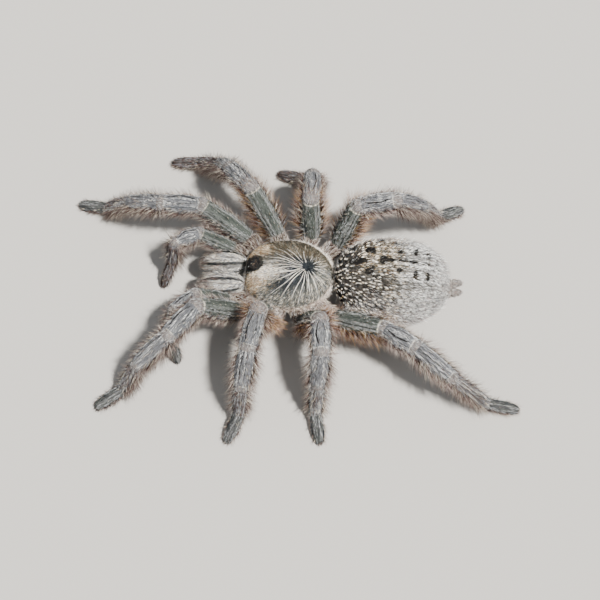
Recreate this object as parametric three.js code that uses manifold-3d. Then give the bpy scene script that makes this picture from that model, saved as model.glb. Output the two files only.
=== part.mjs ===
// A dried tarantula, set with its legs as in life and standing on its own feet.
// Millimetres, +Z up. The head points along -X, so the animal's right side is at +Y.
// The ground is z = 0, and the origin is on the ground under the middle of the whole specimen.
// Every hard part of the outer skeleton is one mesh. A gap stands for the soft skin between them.

import * as THREE from "three";
import { mergeVertices } from "three/addons/utils/BufferGeometryUtils.js";
import Module from "manifold-3d";

const wasm = await Module();
wasm.setup();

// ---------------------------------------------------------------- driving dimensions

const GAP = 0.3; // soft skin between two hard parts
const DOME_SWELL = 0.8; // power below 1 makes the carapace's dome fuller than half an ellipsoid
const SIDES = 10; // facets round an article of a leg

const CARAPACE = { length: 21, width: 18.2, margin: 8.8, dome: 6.2, rim: 0.7 };
const CARAPACE_FRONT = { width: 0.7, squareness: 3 }; // width as a share; 0 would be a round front
const EYE_MOUND = { x: -8.5, z: 13.2, length: 2.6, width: 3.2, height: 2.4 };
const STERNUM = { length: 10.5, width: 8.6, bottom: 4.6, top: 8.6, x: -0.4 };
const LABIUM = { length: 2.6, width: 2.8, height: 2.2, x: -6.2, z: 5.9 };
const PEDICEL = { start: 7.6, end: 12.0, radius: 1.25, z: 6.8 };
const ABDOMEN = { length: 26.8, width: 21.0, height: 17.8, start: 11.0, z: 10.3, widest: 0.51 };
const CHELICERA = { length: 10.6, width: 5.3, height: 7.2, y: 2.85, z: 8.9, droop: 8 };
const FANG = { length: 6.2, radius: 0.95, curl: 95, x: -20.2, y: 2.9, z: 5.2 };
const SPINNERET = { length: 4.4, radius: 0.75, y: 1.0, z: 9.2, lift: 2, spread: 4, sink: 0.9 };

// Free articles of a leg and of a palp, from the body outwards.
const LEG_ARTICLES = ["femur", "patella", "tibia", "metatarsus", "tarsus"];
const PALP_ARTICLES = ["femur", "patella", "tibia", "tarsus"];

const LENGTHS = {
  leg_1: { femur: 14.5, patella: 9.4, tibia: 10.8, metatarsus: 10.0, tarsus: 7.4 },
  leg_2: { femur: 14.2, patella: 8.8, tibia: 9.6, metatarsus: 9.6, tarsus: 7.2 },
  leg_3: { femur: 11.9, patella: 7.6, tibia: 8.4, metatarsus: 9.8, tarsus: 7.0 },
  leg_4: { femur: 14.0, patella: 8.6, tibia: 11.0, metatarsus: 13.0, tarsus: 7.6 },
  palp: { femur: 10.0, patella: 6.4, tibia: 7.6, tarsus: 7.2 },
};

// Radius at the near end, the middle and the far end of each article of the first leg.
const RADII = {
  femur: [2.3, 2.85, 2.45],
  patella: [2.2, 2.65, 2.35],
  tibia: [2.15, 2.45, 2.05],
  metatarsus: [1.75, 1.9, 1.6],
  tarsus: [1.45, 1.65, 1.45],
};
const STOUTNESS = { leg_1: 1, leg_2: 1, leg_3: 1, leg_4: 1, palp: 0.8 };
const ARTICLE_WIDTH = 0.92; // an article is a little taller than it is wide
const BLUNT_POINT = [[0.6, 0.6], [1, 1.15]]; // share of the radius, and of the point's depth
const LEAST_POINT = 0.35;
const POINT_CLEARANCE = 0.06;
const TIP_POINT = 0.6; // depth of a rod's free end, in radii
const FOOT_AXIS = 0.7; // height of a foot's centre line at its tip, so low that the sole is cut flat

// Where a femur starts, on the right side: forward, sideways and height.
const HIPS = {
  leg_1: [-10.6, 9.95, 8.1],
  leg_2: [-3.8, 11.6, 7.8],
  leg_3: [4.4, 11.8, 7.8],
  leg_4: [11.0, 9.8, 8.1],
  palp: [-13.9, 7.05, 7.6],
};
const COXA_RADIUS = { leg_1: 2.35, leg_2: 2.3, leg_3: 2.3, leg_4: 2.4, palp: 1.75 };
const COXA_START = 0.3; // share of the way from the middle of the sternum to the hip
const COXA_DROP = 1.9; // how far a coxa's inner end lies below the hip

// Stance in degrees. Yaw is 0 forwards, 90 sideways and 180 backwards. Pitch is above the ground.
// The article before the foot has no pitch here: it comes down to where the foot stands.
// On a palp the foot itself comes down.
const STANCE = {
  right_leg_1: { yaw: [20, 1, 16, 19, 10], pitch: [29, -2, -29, null, -11] },
  left_leg_1: { yaw: [24, 52, 37, 33, 38], pitch: [42, -4, -36, null, -10] },
  right_leg_2: { yaw: [45, 48, 60, 36, 0], pitch: [45, -15, -50, null, -9] },
  left_leg_2: { yaw: [64, 78, 82, 80, 70], pitch: [71, -18, -42, null, -18] },
  right_leg_3: { yaw: [83, 89, 88, 70, 14], pitch: [68, -14, -80, null, -10] },
  left_leg_3: { yaw: [136, 96, 87, 84, 104], pitch: [62, -7, -48, null, -10] },
  right_leg_4: { yaw: [138, 170, 156, 132, 150], pitch: [64, 8, -44, null, -14] },
  left_leg_4: { yaw: [160, 149, 147, 168, 176], pitch: [20, 5, -14, null, -8] },
  right_palp: { yaw: [6, -34, -48, -62], pitch: [29, 12, -78, null] },
  left_palp: { yaw: [16, 44, 86, 112], pitch: [38, -2, -58, null] },
};

// ---------------------------------------------------------------- finishes

const finish = (color, roughness) => new THREE.MeshStandardMaterial({ color, roughness, metalness: 0 });
const FINISH = {
  carapace: finish("#8f8567", 0.75),
  underside: finish("#5d4a3b", 0.8),
  abdomen: finish("#8a8478", 0.9),
  chelicera: finish("#8d8a84", 0.8),
  fang: finish("#1c1110", 0.3),
  femur: finish("#6f776b", 0.85),
  patella: finish("#8d8d92", 0.85),
  tibia: finish("#86838a", 0.9),
  metatarsus: finish("#7b7478", 0.9),
  tarsus: finish("#77777d", 0.9),
};

// ---------------------------------------------------------------- small tools

const radians = THREE.MathUtils.degToRad;
const FORWARD = new THREE.Vector3(-1, 0, 0);
const UP = new THREE.Vector3(0, 0, 1);

// The same geometry with each corner moved by place(point).
function reshaped(geometry, place) {
  const corners = geometry.getAttribute("position");
  const point = new THREE.Vector3();
  for (let i = 0; i < corners.count; i++) {
    place(point.fromBufferAttribute(corners, i));
    corners.setXYZ(i, point.x, point.y, point.z);
  }
  return geometry;
}

// A closed geometry as a solid that can be cut and joined.
function solidOf(geometry) {
  const bare = geometry.clone();
  bare.deleteAttribute("normal");
  bare.deleteAttribute("uv");
  const merged = mergeVertices(bare, 1e-3);
  return new wasm.Manifold(
    new wasm.Mesh({
      numProp: 3,
      vertProperties: merged.getAttribute("position").array,
      triVerts: new Uint32Array(merged.index.array),
    }),
  );
}

function geometryOf(solid) {
  const { vertProperties, triVerts } = solid.getMesh();
  const geometry = new THREE.BufferGeometry();
  geometry.setAttribute("position", new THREE.BufferAttribute(vertProperties, 3));
  geometry.setIndex(new THREE.BufferAttribute(triVerts, 1));
  geometry.computeVertexNormals();
  return geometry;
}

function named(name, geometry, material) {
  const mesh = new THREE.Mesh(geometry, material);
  mesh.name = name;
  return mesh;
}

// ---------------------------------------------------------------- shapes

// A rod along +X from x = 0, with its radius at the near end, the middle and the far end.
// Each end is a blunt point, this many radii deep, so that rods that meet at an angle stay clear.
function rod(length, [near, middle, far], [nearPoint, farPoint], sides = SIDES) {
  const profile = [new THREE.Vector2(0, 0)];
  for (const [share, depth] of BLUNT_POINT) {
    profile.push(new THREE.Vector2(near * share, near * nearPoint * depth));
  }
  profile.push(new THREE.Vector2(middle, length / 2));
  for (const [share, depth] of BLUNT_POINT.toReversed()) {
    profile.push(new THREE.Vector2(far * share, length - far * farPoint * depth));
  }
  profile.push(new THREE.Vector2(0, length));
  return new THREE.LatheGeometry(profile, sides).rotateZ(-Math.PI / 2);
}

// How deep the point of a rod has to be where it meets the next one at this angle.
function pointFor(angle) {
  return Math.max(LEAST_POINT, Math.tan(angle / 2) + POINT_CLEARANCE);
}

// Width of the carapace at x, as a share of its widest: broad and blunt in front, round behind.
function carapaceShare(x) {
  const along = THREE.MathUtils.clamp((2 * x) / CARAPACE.length, -1, 1);
  return along < 0 ? THREE.MathUtils.lerp(1, CARAPACE_FRONT.width, along * along) : 1;
}

// How far out a round outline moves to become square in front.
function squared(x, y) {
  const reach = Math.hypot(x, y);
  if (reach === 0) return 1;
  const power = 2 + CARAPACE_FRONT.squareness * Math.max(0, -x / reach);
  return reach / (Math.abs(x) ** power + Math.abs(y) ** power) ** (1 / power);
}

// A low dome with a thin rim under it. A margin makes it larger on every side, for a clearance.
function carapace(margin = 0) {
  const dome = new THREE.SphereGeometry(1, 26, 13).rotateX(Math.PI / 2);
  reshaped(dome, (p) => {
    const blunt = squared(p.x, p.y);
    p.x *= (CARAPACE.length / 2 + margin) * blunt;
    p.y *= (CARAPACE.width / 2 + margin) * blunt * carapaceShare(p.x);
    const rise = p.z > 0 ? p.z ** DOME_SWELL * (CARAPACE.dome + margin) : p.z * (CARAPACE.rim + margin);
    p.z = CARAPACE.margin + rise;
  });
  return solidOf(dome);
}

function eyeMound() {
  const mound = new THREE.SphereGeometry(0.5, 12, 8);
  mound.scale(EYE_MOUND.length, EYE_MOUND.width, EYE_MOUND.height);
  mound.translate(EYE_MOUND.x, 0, EYE_MOUND.z);
  return solidOf(mound);
}

// The flat shield under the body, pointed behind.
function sternum() {
  const outline = new THREE.Shape();
  const half = STERNUM.length / 2;
  const side = STERNUM.width / 2;
  outline.moveTo(half, 0);
  outline.bezierCurveTo(half * 0.6, side * 0.9, 0, side, -half * 0.3, side);
  outline.bezierCurveTo(-half * 0.8, side, -half, side * 0.6, -half, 0);
  outline.bezierCurveTo(-half, -side * 0.6, -half * 0.8, -side, -half * 0.3, -side);
  outline.bezierCurveTo(0, -side, half * 0.6, -side * 0.9, half, 0);
  const depth = STERNUM.top - STERNUM.bottom;
  const plate = new THREE.ExtrudeGeometry(outline, { depth, bevelEnabled: false, curveSegments: 5 });
  plate.translate(STERNUM.x, 0, STERNUM.bottom);
  return solidOf(plate);
}

function labium() {
  const lip = new THREE.SphereGeometry(0.5, 10, 6);
  lip.scale(LABIUM.length, LABIUM.width, LABIUM.height);
  lip.translate(LABIUM.x, 0, LABIUM.z);
  return solidOf(lip);
}

// The middle of a coxa's inner end, and the hip where its femur starts.
function coxaEnds(kind, side) {
  const [x, y, z] = HIPS[kind];
  const root = new THREE.Vector3(x * COXA_START, side * y * COXA_START, z - COXA_DROP);
  return [root, new THREE.Vector3(x, side * y, z)];
}

// The fixed root of a limb, from beside the sternum out to the hip.
function coxa(kind, side) {
  const [root, hip] = coxaEnds(kind, side);
  const along = hip.clone().sub(root);
  const radius = COXA_RADIUS[kind];
  const length = along.length() - GAP / 2;
  const { yaw, pitch } = STANCE[`${side > 0 ? "right" : "left"}_${kind}`];
  const bend = heading(side, yaw[0], pitch[0]).angleTo(along);
  const shape = rod(length, [radius * 0.85, radius, radius * 0.86], [LEAST_POINT, pointFor(bend)]);
  const turn = new THREE.Quaternion().setFromUnitVectors(new THREE.Vector3(1, 0, 0), along.normalize());
  shape.applyQuaternion(turn).translate(root.x, root.y, root.z);
  return solidOf(shape);
}

function pedicel(margin = 0) {
  const radius = PEDICEL.radius + margin;
  const ends = [LEAST_POINT, LEAST_POINT];
  const stalk = rod(PEDICEL.end - PEDICEL.start + 2 * margin, [radius, radius, radius * 0.9], ends);
  stalk.translate(PEDICEL.start - margin, 0, PEDICEL.z);
  return solidOf(stalk);
}

// An egg that lies along X, blunt behind and narrower in front.
function abdomen() {
  const steps = 16;
  const profile = [];
  for (let i = 0; i <= steps; i++) {
    const angle = (Math.PI * i) / steps;
    const along = (1 - Math.cos(angle)) / 2;
    const skewed = along ** (Math.log(ABDOMEN.widest) / Math.log(0.5));
    profile.push(new THREE.Vector2(Math.sin(angle) / 2, skewed * ABDOMEN.length));
  }
  const egg = new THREE.LatheGeometry(profile, 24).rotateZ(-Math.PI / 2);
  egg.scale(1, ABDOMEN.width, ABDOMEN.height).translate(ABDOMEN.start, 0, ABDOMEN.z);
  return solidOf(egg);
}

// The stout base of a jaw, in front of the carapace and drooping a little.
function chelicera(side, margin = 0) {
  const length = CHELICERA.length + margin;
  const jaw = rod(length, [0.45, 0.5, 0.42], [2.2, 4.6], 16);
  reshaped(jaw, (p) => {
    const round = Math.sqrt(Math.max(0, 1 - (p.x / length - 0.38) ** 2 / 0.42));
    p.y *= (CHELICERA.width + 2 * margin) * (0.8 + 0.2 * round);
    p.z *= (CHELICERA.height + 2 * margin) * (0.74 + 0.26 * round);
  });
  jaw.rotateZ(Math.PI).rotateY(-radians(CHELICERA.droop));
  jaw.translate(-CARAPACE.length / 2 + margin, side * CHELICERA.y, CHELICERA.z);
  return solidOf(jaw);
}

// A hook that starts under the front of its jaw and curls down and back.
function fang(side) {
  const hook = rod(FANG.length, [FANG.radius, FANG.radius * 0.7, FANG.radius * 0.2], [LEAST_POINT, 3], 8);
  const bend = radians(FANG.curl) / FANG.length;
  reshaped(hook, (p) => {
    const reach = 1 / bend - p.z;
    const angle = p.x * bend;
    p.x = Math.sin(angle) * reach;
    p.z = 1 / bend - Math.cos(angle) * reach;
  });
  hook.rotateY(Math.PI / 2).translate(FANG.x, side * FANG.y, FANG.z);
  return solidOf(hook);
}

// One of the two long, tapered spinnerets at the end of the abdomen.
function spinneret(side) {
  const { length, radius } = SPINNERET;
  const finger = rod(length, [radius, radius * 0.85, radius * 0.45], [LEAST_POINT, 1.5], 8);
  finger.rotateY(-radians(SPINNERET.lift)).rotateZ(side * radians(SPINNERET.spread));
  finger.translate(ABDOMEN.start + ABDOMEN.length - SPINNERET.sink, side * SPINNERET.y, SPINNERET.z);
  return solidOf(finger);
}

// ---------------------------------------------------------------- limbs

// Direction of an article from its yaw and pitch in degrees, on one side of the body.
function heading(side, yaw, pitch) {
  const level = FORWARD.clone().applyAxisAngle(UP, -side * radians(yaw));
  return level.multiplyScalar(Math.cos(radians(pitch))).addScaledVector(UP, Math.sin(radians(pitch)));
}

// Pitches with the missing one filled in, so that the limb ends at the height of a foot.
function grounded(pitches, lengths, hipHeight) {
  const missing = pitches.indexOf(null);
  const climbs = pitches.map((p, i) => (p === null ? 0 : lengths[i] * Math.sin(radians(p))));
  const climb = climbs.reduce((sum, rise) => sum + rise);
  const drop = (FOOT_AXIS - hipHeight - climb) / lengths[missing];
  return pitches.map((p) => (p === null ? THREE.MathUtils.radToDeg(Math.asin(drop)) : p));
}

// What lies under the ground, to cut flat soles.
const BELOW_GROUND = solidOf(new THREE.BoxGeometry(300, 300, 10).translate(0, 0, -5));

// The free articles of one limb, each placed at the joint where it starts.
function limb(sideName, kind) {
  const side = sideName === "right" ? 1 : -1;
  const articles = kind === "palp" ? PALP_ARTICLES : LEG_ARTICLES;
  const lengths = articles.map((article) => LENGTHS[kind][article]);
  const stance = STANCE[`${sideName}_${kind}`];
  const pitches = grounded(stance.pitch, lengths, HIPS[kind][2]);
  const [root, joint] = coxaEnds(kind, side);
  const ways = articles.map((_, i) => heading(side, stance.yaw[i], pitches[i]));
  const bends = ways.map((way, i) => way.angleTo(i ? ways[i - 1] : joint.clone().sub(root)));
  const group = new THREE.Group();
  articles.forEach((article, i) => {
    const way = ways[i];
    const radii = RADII[article].map((r) => r * STOUTNESS[kind]);
    const isFoot = i === articles.length - 1;
    const points = [pointFor(bends[i]), isFoot ? TIP_POINT : pointFor(bends[i + 1])];
    const shape = rod(lengths[i] - (isFoot ? GAP / 2 : GAP), radii, points).scale(1, ARTICLE_WIDTH, 1);
    const turn = new THREE.Euler(0, -radians(pitches[i]), Math.atan2(way.y, way.x), "ZYX");
    const start = joint.clone().addScaledVector(way, GAP / 2);
    const mesh = named(`${sideName}_${kind}_${article}`, shape, FINISH[article]);
    mesh.position.copy(start);
    mesh.rotation.copy(turn);
    if (isFoot) flattenSole(mesh);
    group.add(mesh);
    joint.addScaledVector(way, lengths[i]);
  });
  return group;
}

// Cuts a placed foot along the ground, and keeps it where it is.
function flattenSole(mesh) {
  mesh.updateMatrix();
  const placed = solidOf(mesh.geometry.clone().applyMatrix4(mesh.matrix));
  mesh.geometry = geometryOf(placed.subtract(BELOW_GROUND)).applyMatrix4(mesh.matrix.clone().invert());
}

// ---------------------------------------------------------------- the whole animal

const specimen = new THREE.Group();

specimen.add(named("carapace", geometryOf(carapace().add(eyeMound())), FINISH.carapace));
specimen.add(named("abdomen", geometryOf(abdomen()), FINISH.abdomen));
const stalk = pedicel().subtract(abdomen().translate(-GAP, 0, 0));
specimen.add(named("pedicel", geometryOf(stalk), FINISH.underside));

let underside = sternum().add(labium());
for (const kind of Object.keys(HIPS)) {
  for (const side of [1, -1]) underside = underside.add(coxa(kind, side));
}
for (const clear of [carapace(GAP), pedicel(GAP), chelicera(1, GAP), chelicera(-1, GAP)]) {
  underside = underside.subtract(clear);
}
specimen.add(named("sternum_and_coxae", geometryOf(underside), FINISH.underside));

for (const [sideName, side] of [["right", 1], ["left", -1]]) {
  const jaw = chelicera(side).subtract(carapace(GAP));
  specimen.add(named(`${sideName}_chelicera`, geometryOf(jaw), FINISH.chelicera));
  const hook = fang(side).subtract(chelicera(side, GAP));
  specimen.add(named(`${sideName}_fang`, geometryOf(hook), FINISH.fang));
  const finger = spinneret(side).subtract(abdomen().translate(GAP, 0, 0));
  specimen.add(named(`${sideName}_spinneret`, geometryOf(finger), FINISH.abdomen));
  for (const kind of Object.keys(HIPS)) specimen.add(limb(sideName, kind));
}

// The origin goes under the middle of the specimen, on the ground.
const root = new THREE.Group();
root.add(specimen);
root.updateMatrixWorld(true);
const middle = new THREE.Box3().setFromObject(specimen, true).getCenter(new THREE.Vector3());
specimen.position.set(-middle.x, -middle.y, 0);

export default root;
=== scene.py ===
"""A dried tarantula on its spread legs: skin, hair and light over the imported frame.

Lengths are millimetres while a piece is made, and it is brought to metres as its last step.
The head points along -X, the animal's right side is at +Y and the ground is z = 0.
"""

import logging
import math
from dataclasses import dataclass, field, replace
from enum import Enum
from typing import Callable, Iterable, Sequence, Union

import bmesh
import bpy
import numpy as np
from mathutils import Matrix, Vector


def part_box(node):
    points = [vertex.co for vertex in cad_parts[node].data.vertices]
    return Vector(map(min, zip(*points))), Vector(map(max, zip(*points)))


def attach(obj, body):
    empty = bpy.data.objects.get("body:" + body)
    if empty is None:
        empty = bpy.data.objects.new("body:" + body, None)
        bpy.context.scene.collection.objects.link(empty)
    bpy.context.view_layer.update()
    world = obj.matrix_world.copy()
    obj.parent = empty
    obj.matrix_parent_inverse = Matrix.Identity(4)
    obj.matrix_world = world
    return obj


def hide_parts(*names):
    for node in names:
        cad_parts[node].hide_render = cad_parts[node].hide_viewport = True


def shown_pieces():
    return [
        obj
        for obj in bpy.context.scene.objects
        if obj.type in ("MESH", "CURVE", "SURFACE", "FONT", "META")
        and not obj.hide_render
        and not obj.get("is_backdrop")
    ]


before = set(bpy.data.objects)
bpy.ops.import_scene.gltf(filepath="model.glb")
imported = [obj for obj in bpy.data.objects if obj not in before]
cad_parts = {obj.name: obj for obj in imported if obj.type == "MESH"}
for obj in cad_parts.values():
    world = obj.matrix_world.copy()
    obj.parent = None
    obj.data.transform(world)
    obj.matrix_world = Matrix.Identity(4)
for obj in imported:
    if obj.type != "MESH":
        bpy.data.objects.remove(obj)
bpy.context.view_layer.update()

log = logging.getLogger("tarantula")
MM = 0.001
TURN = 2 * math.pi
Colour = tuple[float, float, float]
Pair = tuple[float, float]


class Side(Enum):
    """A side of the animal, with the sign of its Y."""

    RIGHT = 1
    LEFT = -1

    @property
    def word(self) -> str:
        """The side as the nodes name it."""
        return self.name.lower()


class Tone(Enum):
    """Colours of hair, each at the root and at the tip."""

    BLACK = ((0.004, 0.004, 0.004), (0.012, 0.011, 0.011))
    SLATE = ((0.009, 0.011, 0.014), (0.045, 0.055, 0.064))
    MOSS = ((0.012, 0.016, 0.014), (0.047, 0.057, 0.051))
    SAGE = ((0.05, 0.058, 0.052), (0.17, 0.183, 0.163))
    OLIVE = ((0.05, 0.044, 0.026), (0.185, 0.155, 0.10))
    GOLD = ((0.19, 0.12, 0.051), (0.56, 0.39, 0.20))
    TAN = ((0.098, 0.066, 0.039), (0.32, 0.22, 0.14))
    SILVER = ((0.165, 0.17, 0.175), (0.49, 0.505, 0.515))
    LAVENDER = ((0.13, 0.135, 0.15), (0.355, 0.365, 0.41))
    CREAM = ((0.42, 0.37, 0.29), (0.95, 0.87, 0.73))
    WHITE = ((0.60, 0.60, 0.59), (1.0, 0.99, 0.96))
    PINK = ((0.10, 0.06, 0.048), (0.51, 0.41, 0.37))
    ROSE = ((0.05, 0.028, 0.024), (0.245, 0.172, 0.155))
    BROWN = ((0.011, 0.006, 0.005), (0.056, 0.034, 0.028))
    CHESTNUT = ((0.02, 0.008, 0.006), (0.105, 0.052, 0.040))
    RUST = ((0.05, 0.02, 0.010), (0.25, 0.118, 0.066))

    @property
    def place(self) -> int:
        """Where the tone comes in the row of tones."""
        return list(Tone).index(self)


Mix = tuple[tuple[Tone, float], ...]  # tones, and how often each one comes
Patch = tuple[float, float, float, float]  # along, across, half length and half width

# ------------------------------------------------------------------ shader maths


class Link:
    """One output socket, which Python's operators turn into Math nodes."""

    def __init__(self, paint: "Paint", socket: bpy.types.NodeSocket) -> None:
        """Keeps the node tree that the socket belongs to."""
        self.paint = paint
        self.socket = socket

    def maths(self, operation: str, *values: "Value") -> "Link":
        """One Math node.

        Args:
            operation: the Math node's operation.
            values: its inputs, in order.
        Returns:
            The result.
        """
        return self.paint.add("ShaderNodeMath", {"operation": operation}, dict(enumerate(values)))

    def __add__(self, other: "Value") -> "Link":
        """self + other."""
        return self.maths("ADD", self, other)

    def __sub__(self, other: "Value") -> "Link":
        """self - other."""
        return self.maths("SUBTRACT", self, other)

    def __mul__(self, other: "Value") -> "Link":
        """self * other."""
        return self.maths("MULTIPLY", self, other)

    def __truediv__(self, other: "Value") -> "Link":
        """self / other."""
        return self.maths("DIVIDE", self, other)

    def __rsub__(self, other: float) -> "Link":
        """other - self."""
        return self.maths("SUBTRACT", other, self)

    def __rmul__(self, other: float) -> "Link":
        """other * self."""
        return self.maths("MULTIPLY", other, self)

    def __abs__(self) -> "Link":
        """The size of self without its sign."""
        return self.maths("ABSOLUTE", self)


Value = Union[Link, float]
Field = Union[Link, np.ndarray]  # a pattern's value, in a material or at the roots of hairs


class Paint:
    """A material with a Principled shader, and the one way that nodes are added to it."""

    BUMP_STRENGTH = 0.3

    def __init__(self, name: str, roughness: float, gloss: float = 0.15) -> None:
        """Starts a material whose roughness and gloss are the same all over."""
        self.material = bpy.data.materials.new(name)
        self.material.use_nodes = True
        self.tree = self.material.node_tree
        self.shader = self.tree.nodes["Principled BSDF"]
        self.shader.inputs["Roughness"].default_value = roughness
        self.shader.inputs["Specular IOR Level"].default_value = gloss

    def add(self, kind: str, settings: dict, inputs: dict, output: Union[int, str] = 0) -> Link:
        """Adds any node.

        Args:
            kind: the node's type.
            settings: properties of the node, set before its inputs.
            inputs: a value or a Link for each named or numbered input.
            output: which output to give back.
        Returns:
            That output.
        """
        node = self.tree.nodes.new(kind)
        for key, value in settings.items():
            setattr(node, key, value)
        for key, value in inputs.items():
            self.join(value, node.inputs[key])
        return Link(self, node.outputs[output])

    def join(self, value: Union[Value, Sequence[float]], socket: bpy.types.NodeSocket) -> None:
        """Links a Link to an input, or sets the input to a plain value."""
        if isinstance(value, Link):
            self.tree.links.new(value.socket, socket)
        else:
            socket.default_value = value

    def finish(self, colour: Link, bump: Union[Link, None] = None) -> bpy.types.Material:
        """Feeds the shader.

        Args:
            colour: the base colour.
            bump: a height in millimetres, or None for a plain surface.
        Returns:
            The finished material.
        """
        self.join(colour, self.shader.inputs["Base Color"])
        if bump is not None:
            inputs = {"Strength": self.BUMP_STRENGTH, "Distance": MM, "Height": bump}
            self.join(self.add("ShaderNodeBump", {}, inputs), self.shader.inputs["Normal"])
        return self.material

    def place(self) -> Link:
        """The point on the piece, in millimetres."""
        spot = self.add("ShaderNodeTexCoord", {}, {}, "Object")
        return self.add("ShaderNodeVectorMath", {"operation": "SCALE"}, {0: spot, "Scale": 1 / MM})

    def map(self, name: str) -> Link:
        """The point's place on one of the piece's own maps."""
        return self.add("ShaderNodeUVMap", {"uv_map": name}, {})

    def split(self, vector: Link) -> tuple[Link, Link, Link]:
        """The three parts of a vector."""
        node = self.tree.nodes.new("ShaderNodeSeparateXYZ")
        self.join(vector, node.inputs[0])
        return tuple(Link(self, output) for output in node.outputs)

    def noise(self, vector: Link, scale: float, detail: float = 3.0) -> Link:
        """Noise from 0 to 1, with this many waves to the vector's unit."""
        return self.add("ShaderNodeTexNoise", {}, {"Vector": vector, "Scale": scale, "Detail": detail})

    def stretch(self, vector: Link, scale: Colour) -> Link:
        """The vector with each of its parts multiplied."""
        return self.add("ShaderNodeVectorMath", {"operation": "MULTIPLY"}, {0: vector, 1: scale})

    def mix(self, share: Value, first: Union[Link, Colour], second: Union[Link, Colour]) -> Link:
        """A mix of two colours: all of the first where share is 0, all of the second where it is 1."""
        ends = [c if isinstance(c, Link) else (*c, 1.0) for c in (first, second)]
        node = self.tree.nodes.new("ShaderNodeMix")
        node.data_type = "RGBA"
        for value, number in ((share, 0), (ends[0], 6), (ends[1], 7)):
            self.join(value, node.inputs[number])
        return Link(self, node.outputs[2])

    def ramp(self, share: Link, stops: Iterable[tuple[float, Colour]], steps: bool = False) -> Link:
        """A colour for each share from 0 to 1.

        Args:
            share: what picks the colour.
            stops: pairs of a share and its colour.
            steps: True for flat steps of colour.
        Returns:
            The colour.
        """
        node = self.tree.nodes.new("ShaderNodeValToRGB")
        node.color_ramp.interpolation = "CONSTANT" if steps else "LINEAR"
        elements = node.color_ramp.elements
        for number, (position, colour) in enumerate(stops):
            element = elements[number] if number < 2 else elements.new(position)
            element.position = position
            element.color = (*colour, 1.0)
        self.join(share, node.inputs[0])
        return Link(self, node.outputs[0])


# ------------------------------------------------------------------ patterns, for skin and hair alike


def smooth(value: Field, low: float, high: float) -> Field:
    """0 below low, 1 above high and a soft step between them."""
    if isinstance(value, Link):
        settings = {"interpolation_type": "SMOOTHSTEP"}
        return value.paint.add("ShaderNodeMapRange", settings, {0: value, 1: low, 2: high})
    share = np.clip((value - low) / (high - low), 0, 1)
    return share * share * (3 - 2 * share)


def sine(value: Field) -> Field:
    """The sine of an angle in radians."""
    return value.maths("SINE", value) if isinstance(value, Link) else np.sin(value)


def reach(x: Field, y: Field) -> Field:
    """How far a point is from the origin."""
    return (x * x + y * y).maths("SQRT", x * x + y * y) if isinstance(x, Link) else np.hypot(x, y)


def band(value: Field, centre: float, half: float, soft: float) -> Field:
    """1 within half of the centre, and 0 further away than that by soft or more."""
    return 1 - smooth(abs(value - centre), half, half + soft)


# ------------------------------------------------------------------ reading the frame


def node_points(node: str) -> np.ndarray:
    """The corners of a CAD node, one row each, in millimetres."""
    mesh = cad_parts[node].data
    flat = np.empty(3 * len(mesh.vertices))
    mesh.vertices.foreach_get("co", flat)
    return np.unique((flat.reshape(-1, 3) / MM).round(4), axis=0)


@dataclass(frozen=True)
class Box:
    """The box round a CAD node, in millimetres."""

    low: Vector
    high: Vector

    @classmethod
    def of(cls, node: str) -> "Box":
        """Reads a node's box."""
        low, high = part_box(node)
        return cls(low / MM, high / MM)

    @property
    def size(self) -> Vector:
        """Its length, width and height."""
        return self.high - self.low

    @property
    def centre(self) -> Vector:
        """Its middle."""
        return (self.low + self.high) / 2

    def at(self, shares: Colour) -> Vector:
        """The point at these shares of its length, width and height."""
        return Vector(low + share * size for low, share, size in zip(self.low, shares, self.size))


@dataclass(frozen=True)
class Axis:
    """The centre line of a rod-like node."""

    near: Vector
    far: Vector
    points: np.ndarray

    @classmethod
    def of(cls, node: str, start: Vector) -> "Axis":
        """Finds a node's centre line.

        Args:
            node: a CAD node whose two ends are its corners that lie furthest apart.
            start: a point that is closer to the near end.
        Returns:
            The centre line.
        """
        points = node_points(node)
        gaps = np.linalg.norm(points[:, None] - points[None], axis=2)
        ends = [Vector(points[i]) for i in np.unravel_index(gaps.argmax(), gaps.shape)]
        ends.sort(key=lambda end: (end - start).length)
        return cls(ends[0], ends[1], points)

    @property
    def length(self) -> float:
        """How long the node is."""
        return (self.far - self.near).length

    @property
    def way(self) -> np.ndarray:
        """From the near end to the far end."""
        return np.array(self.far - self.near)

    @property
    def placing(self) -> Matrix:
        """Takes a piece made along +X, with its top at +Z, to the node's place."""
        return along(self.near, self.far)

    def radius(self, low: float, high: float) -> float:
        """The node's largest radius between two shares of its length."""
        way = np.array((self.far - self.near).normalized())  # at a length of 1
        offsets = self.points - np.array(self.near)
        shares = offsets @ way / self.length
        outwards = np.linalg.norm(offsets - np.outer(offsets @ way, way), axis=1)
        return float(outwards[(shares >= low) & (shares <= high)].max())


def along(near: Vector, far: Vector) -> Matrix:
    """The matrix that takes +X to the line from near to far, and keeps +Z as high as it can."""
    way = (far - near).normalized()
    across = Vector((0, 0, 1)).cross(way).normalized()
    turn = Matrix((way, across, way.cross(across))).transposed().to_4x4()
    return Matrix.Translation(near) @ turn


# ------------------------------------------------------------------ making meshes

SKIN_MAP = "skin"
HAIR_MAP = "OFBake"
TOP = 0.5  # the share of the way round an article that is its top


def reshape(bm: bmesh.types.BMesh, place: Callable[[Vector], Vector]) -> None:
    """Moves each corner to where place says."""
    for vertex in bm.verts:
        vertex.co = place(vertex.co)


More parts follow.
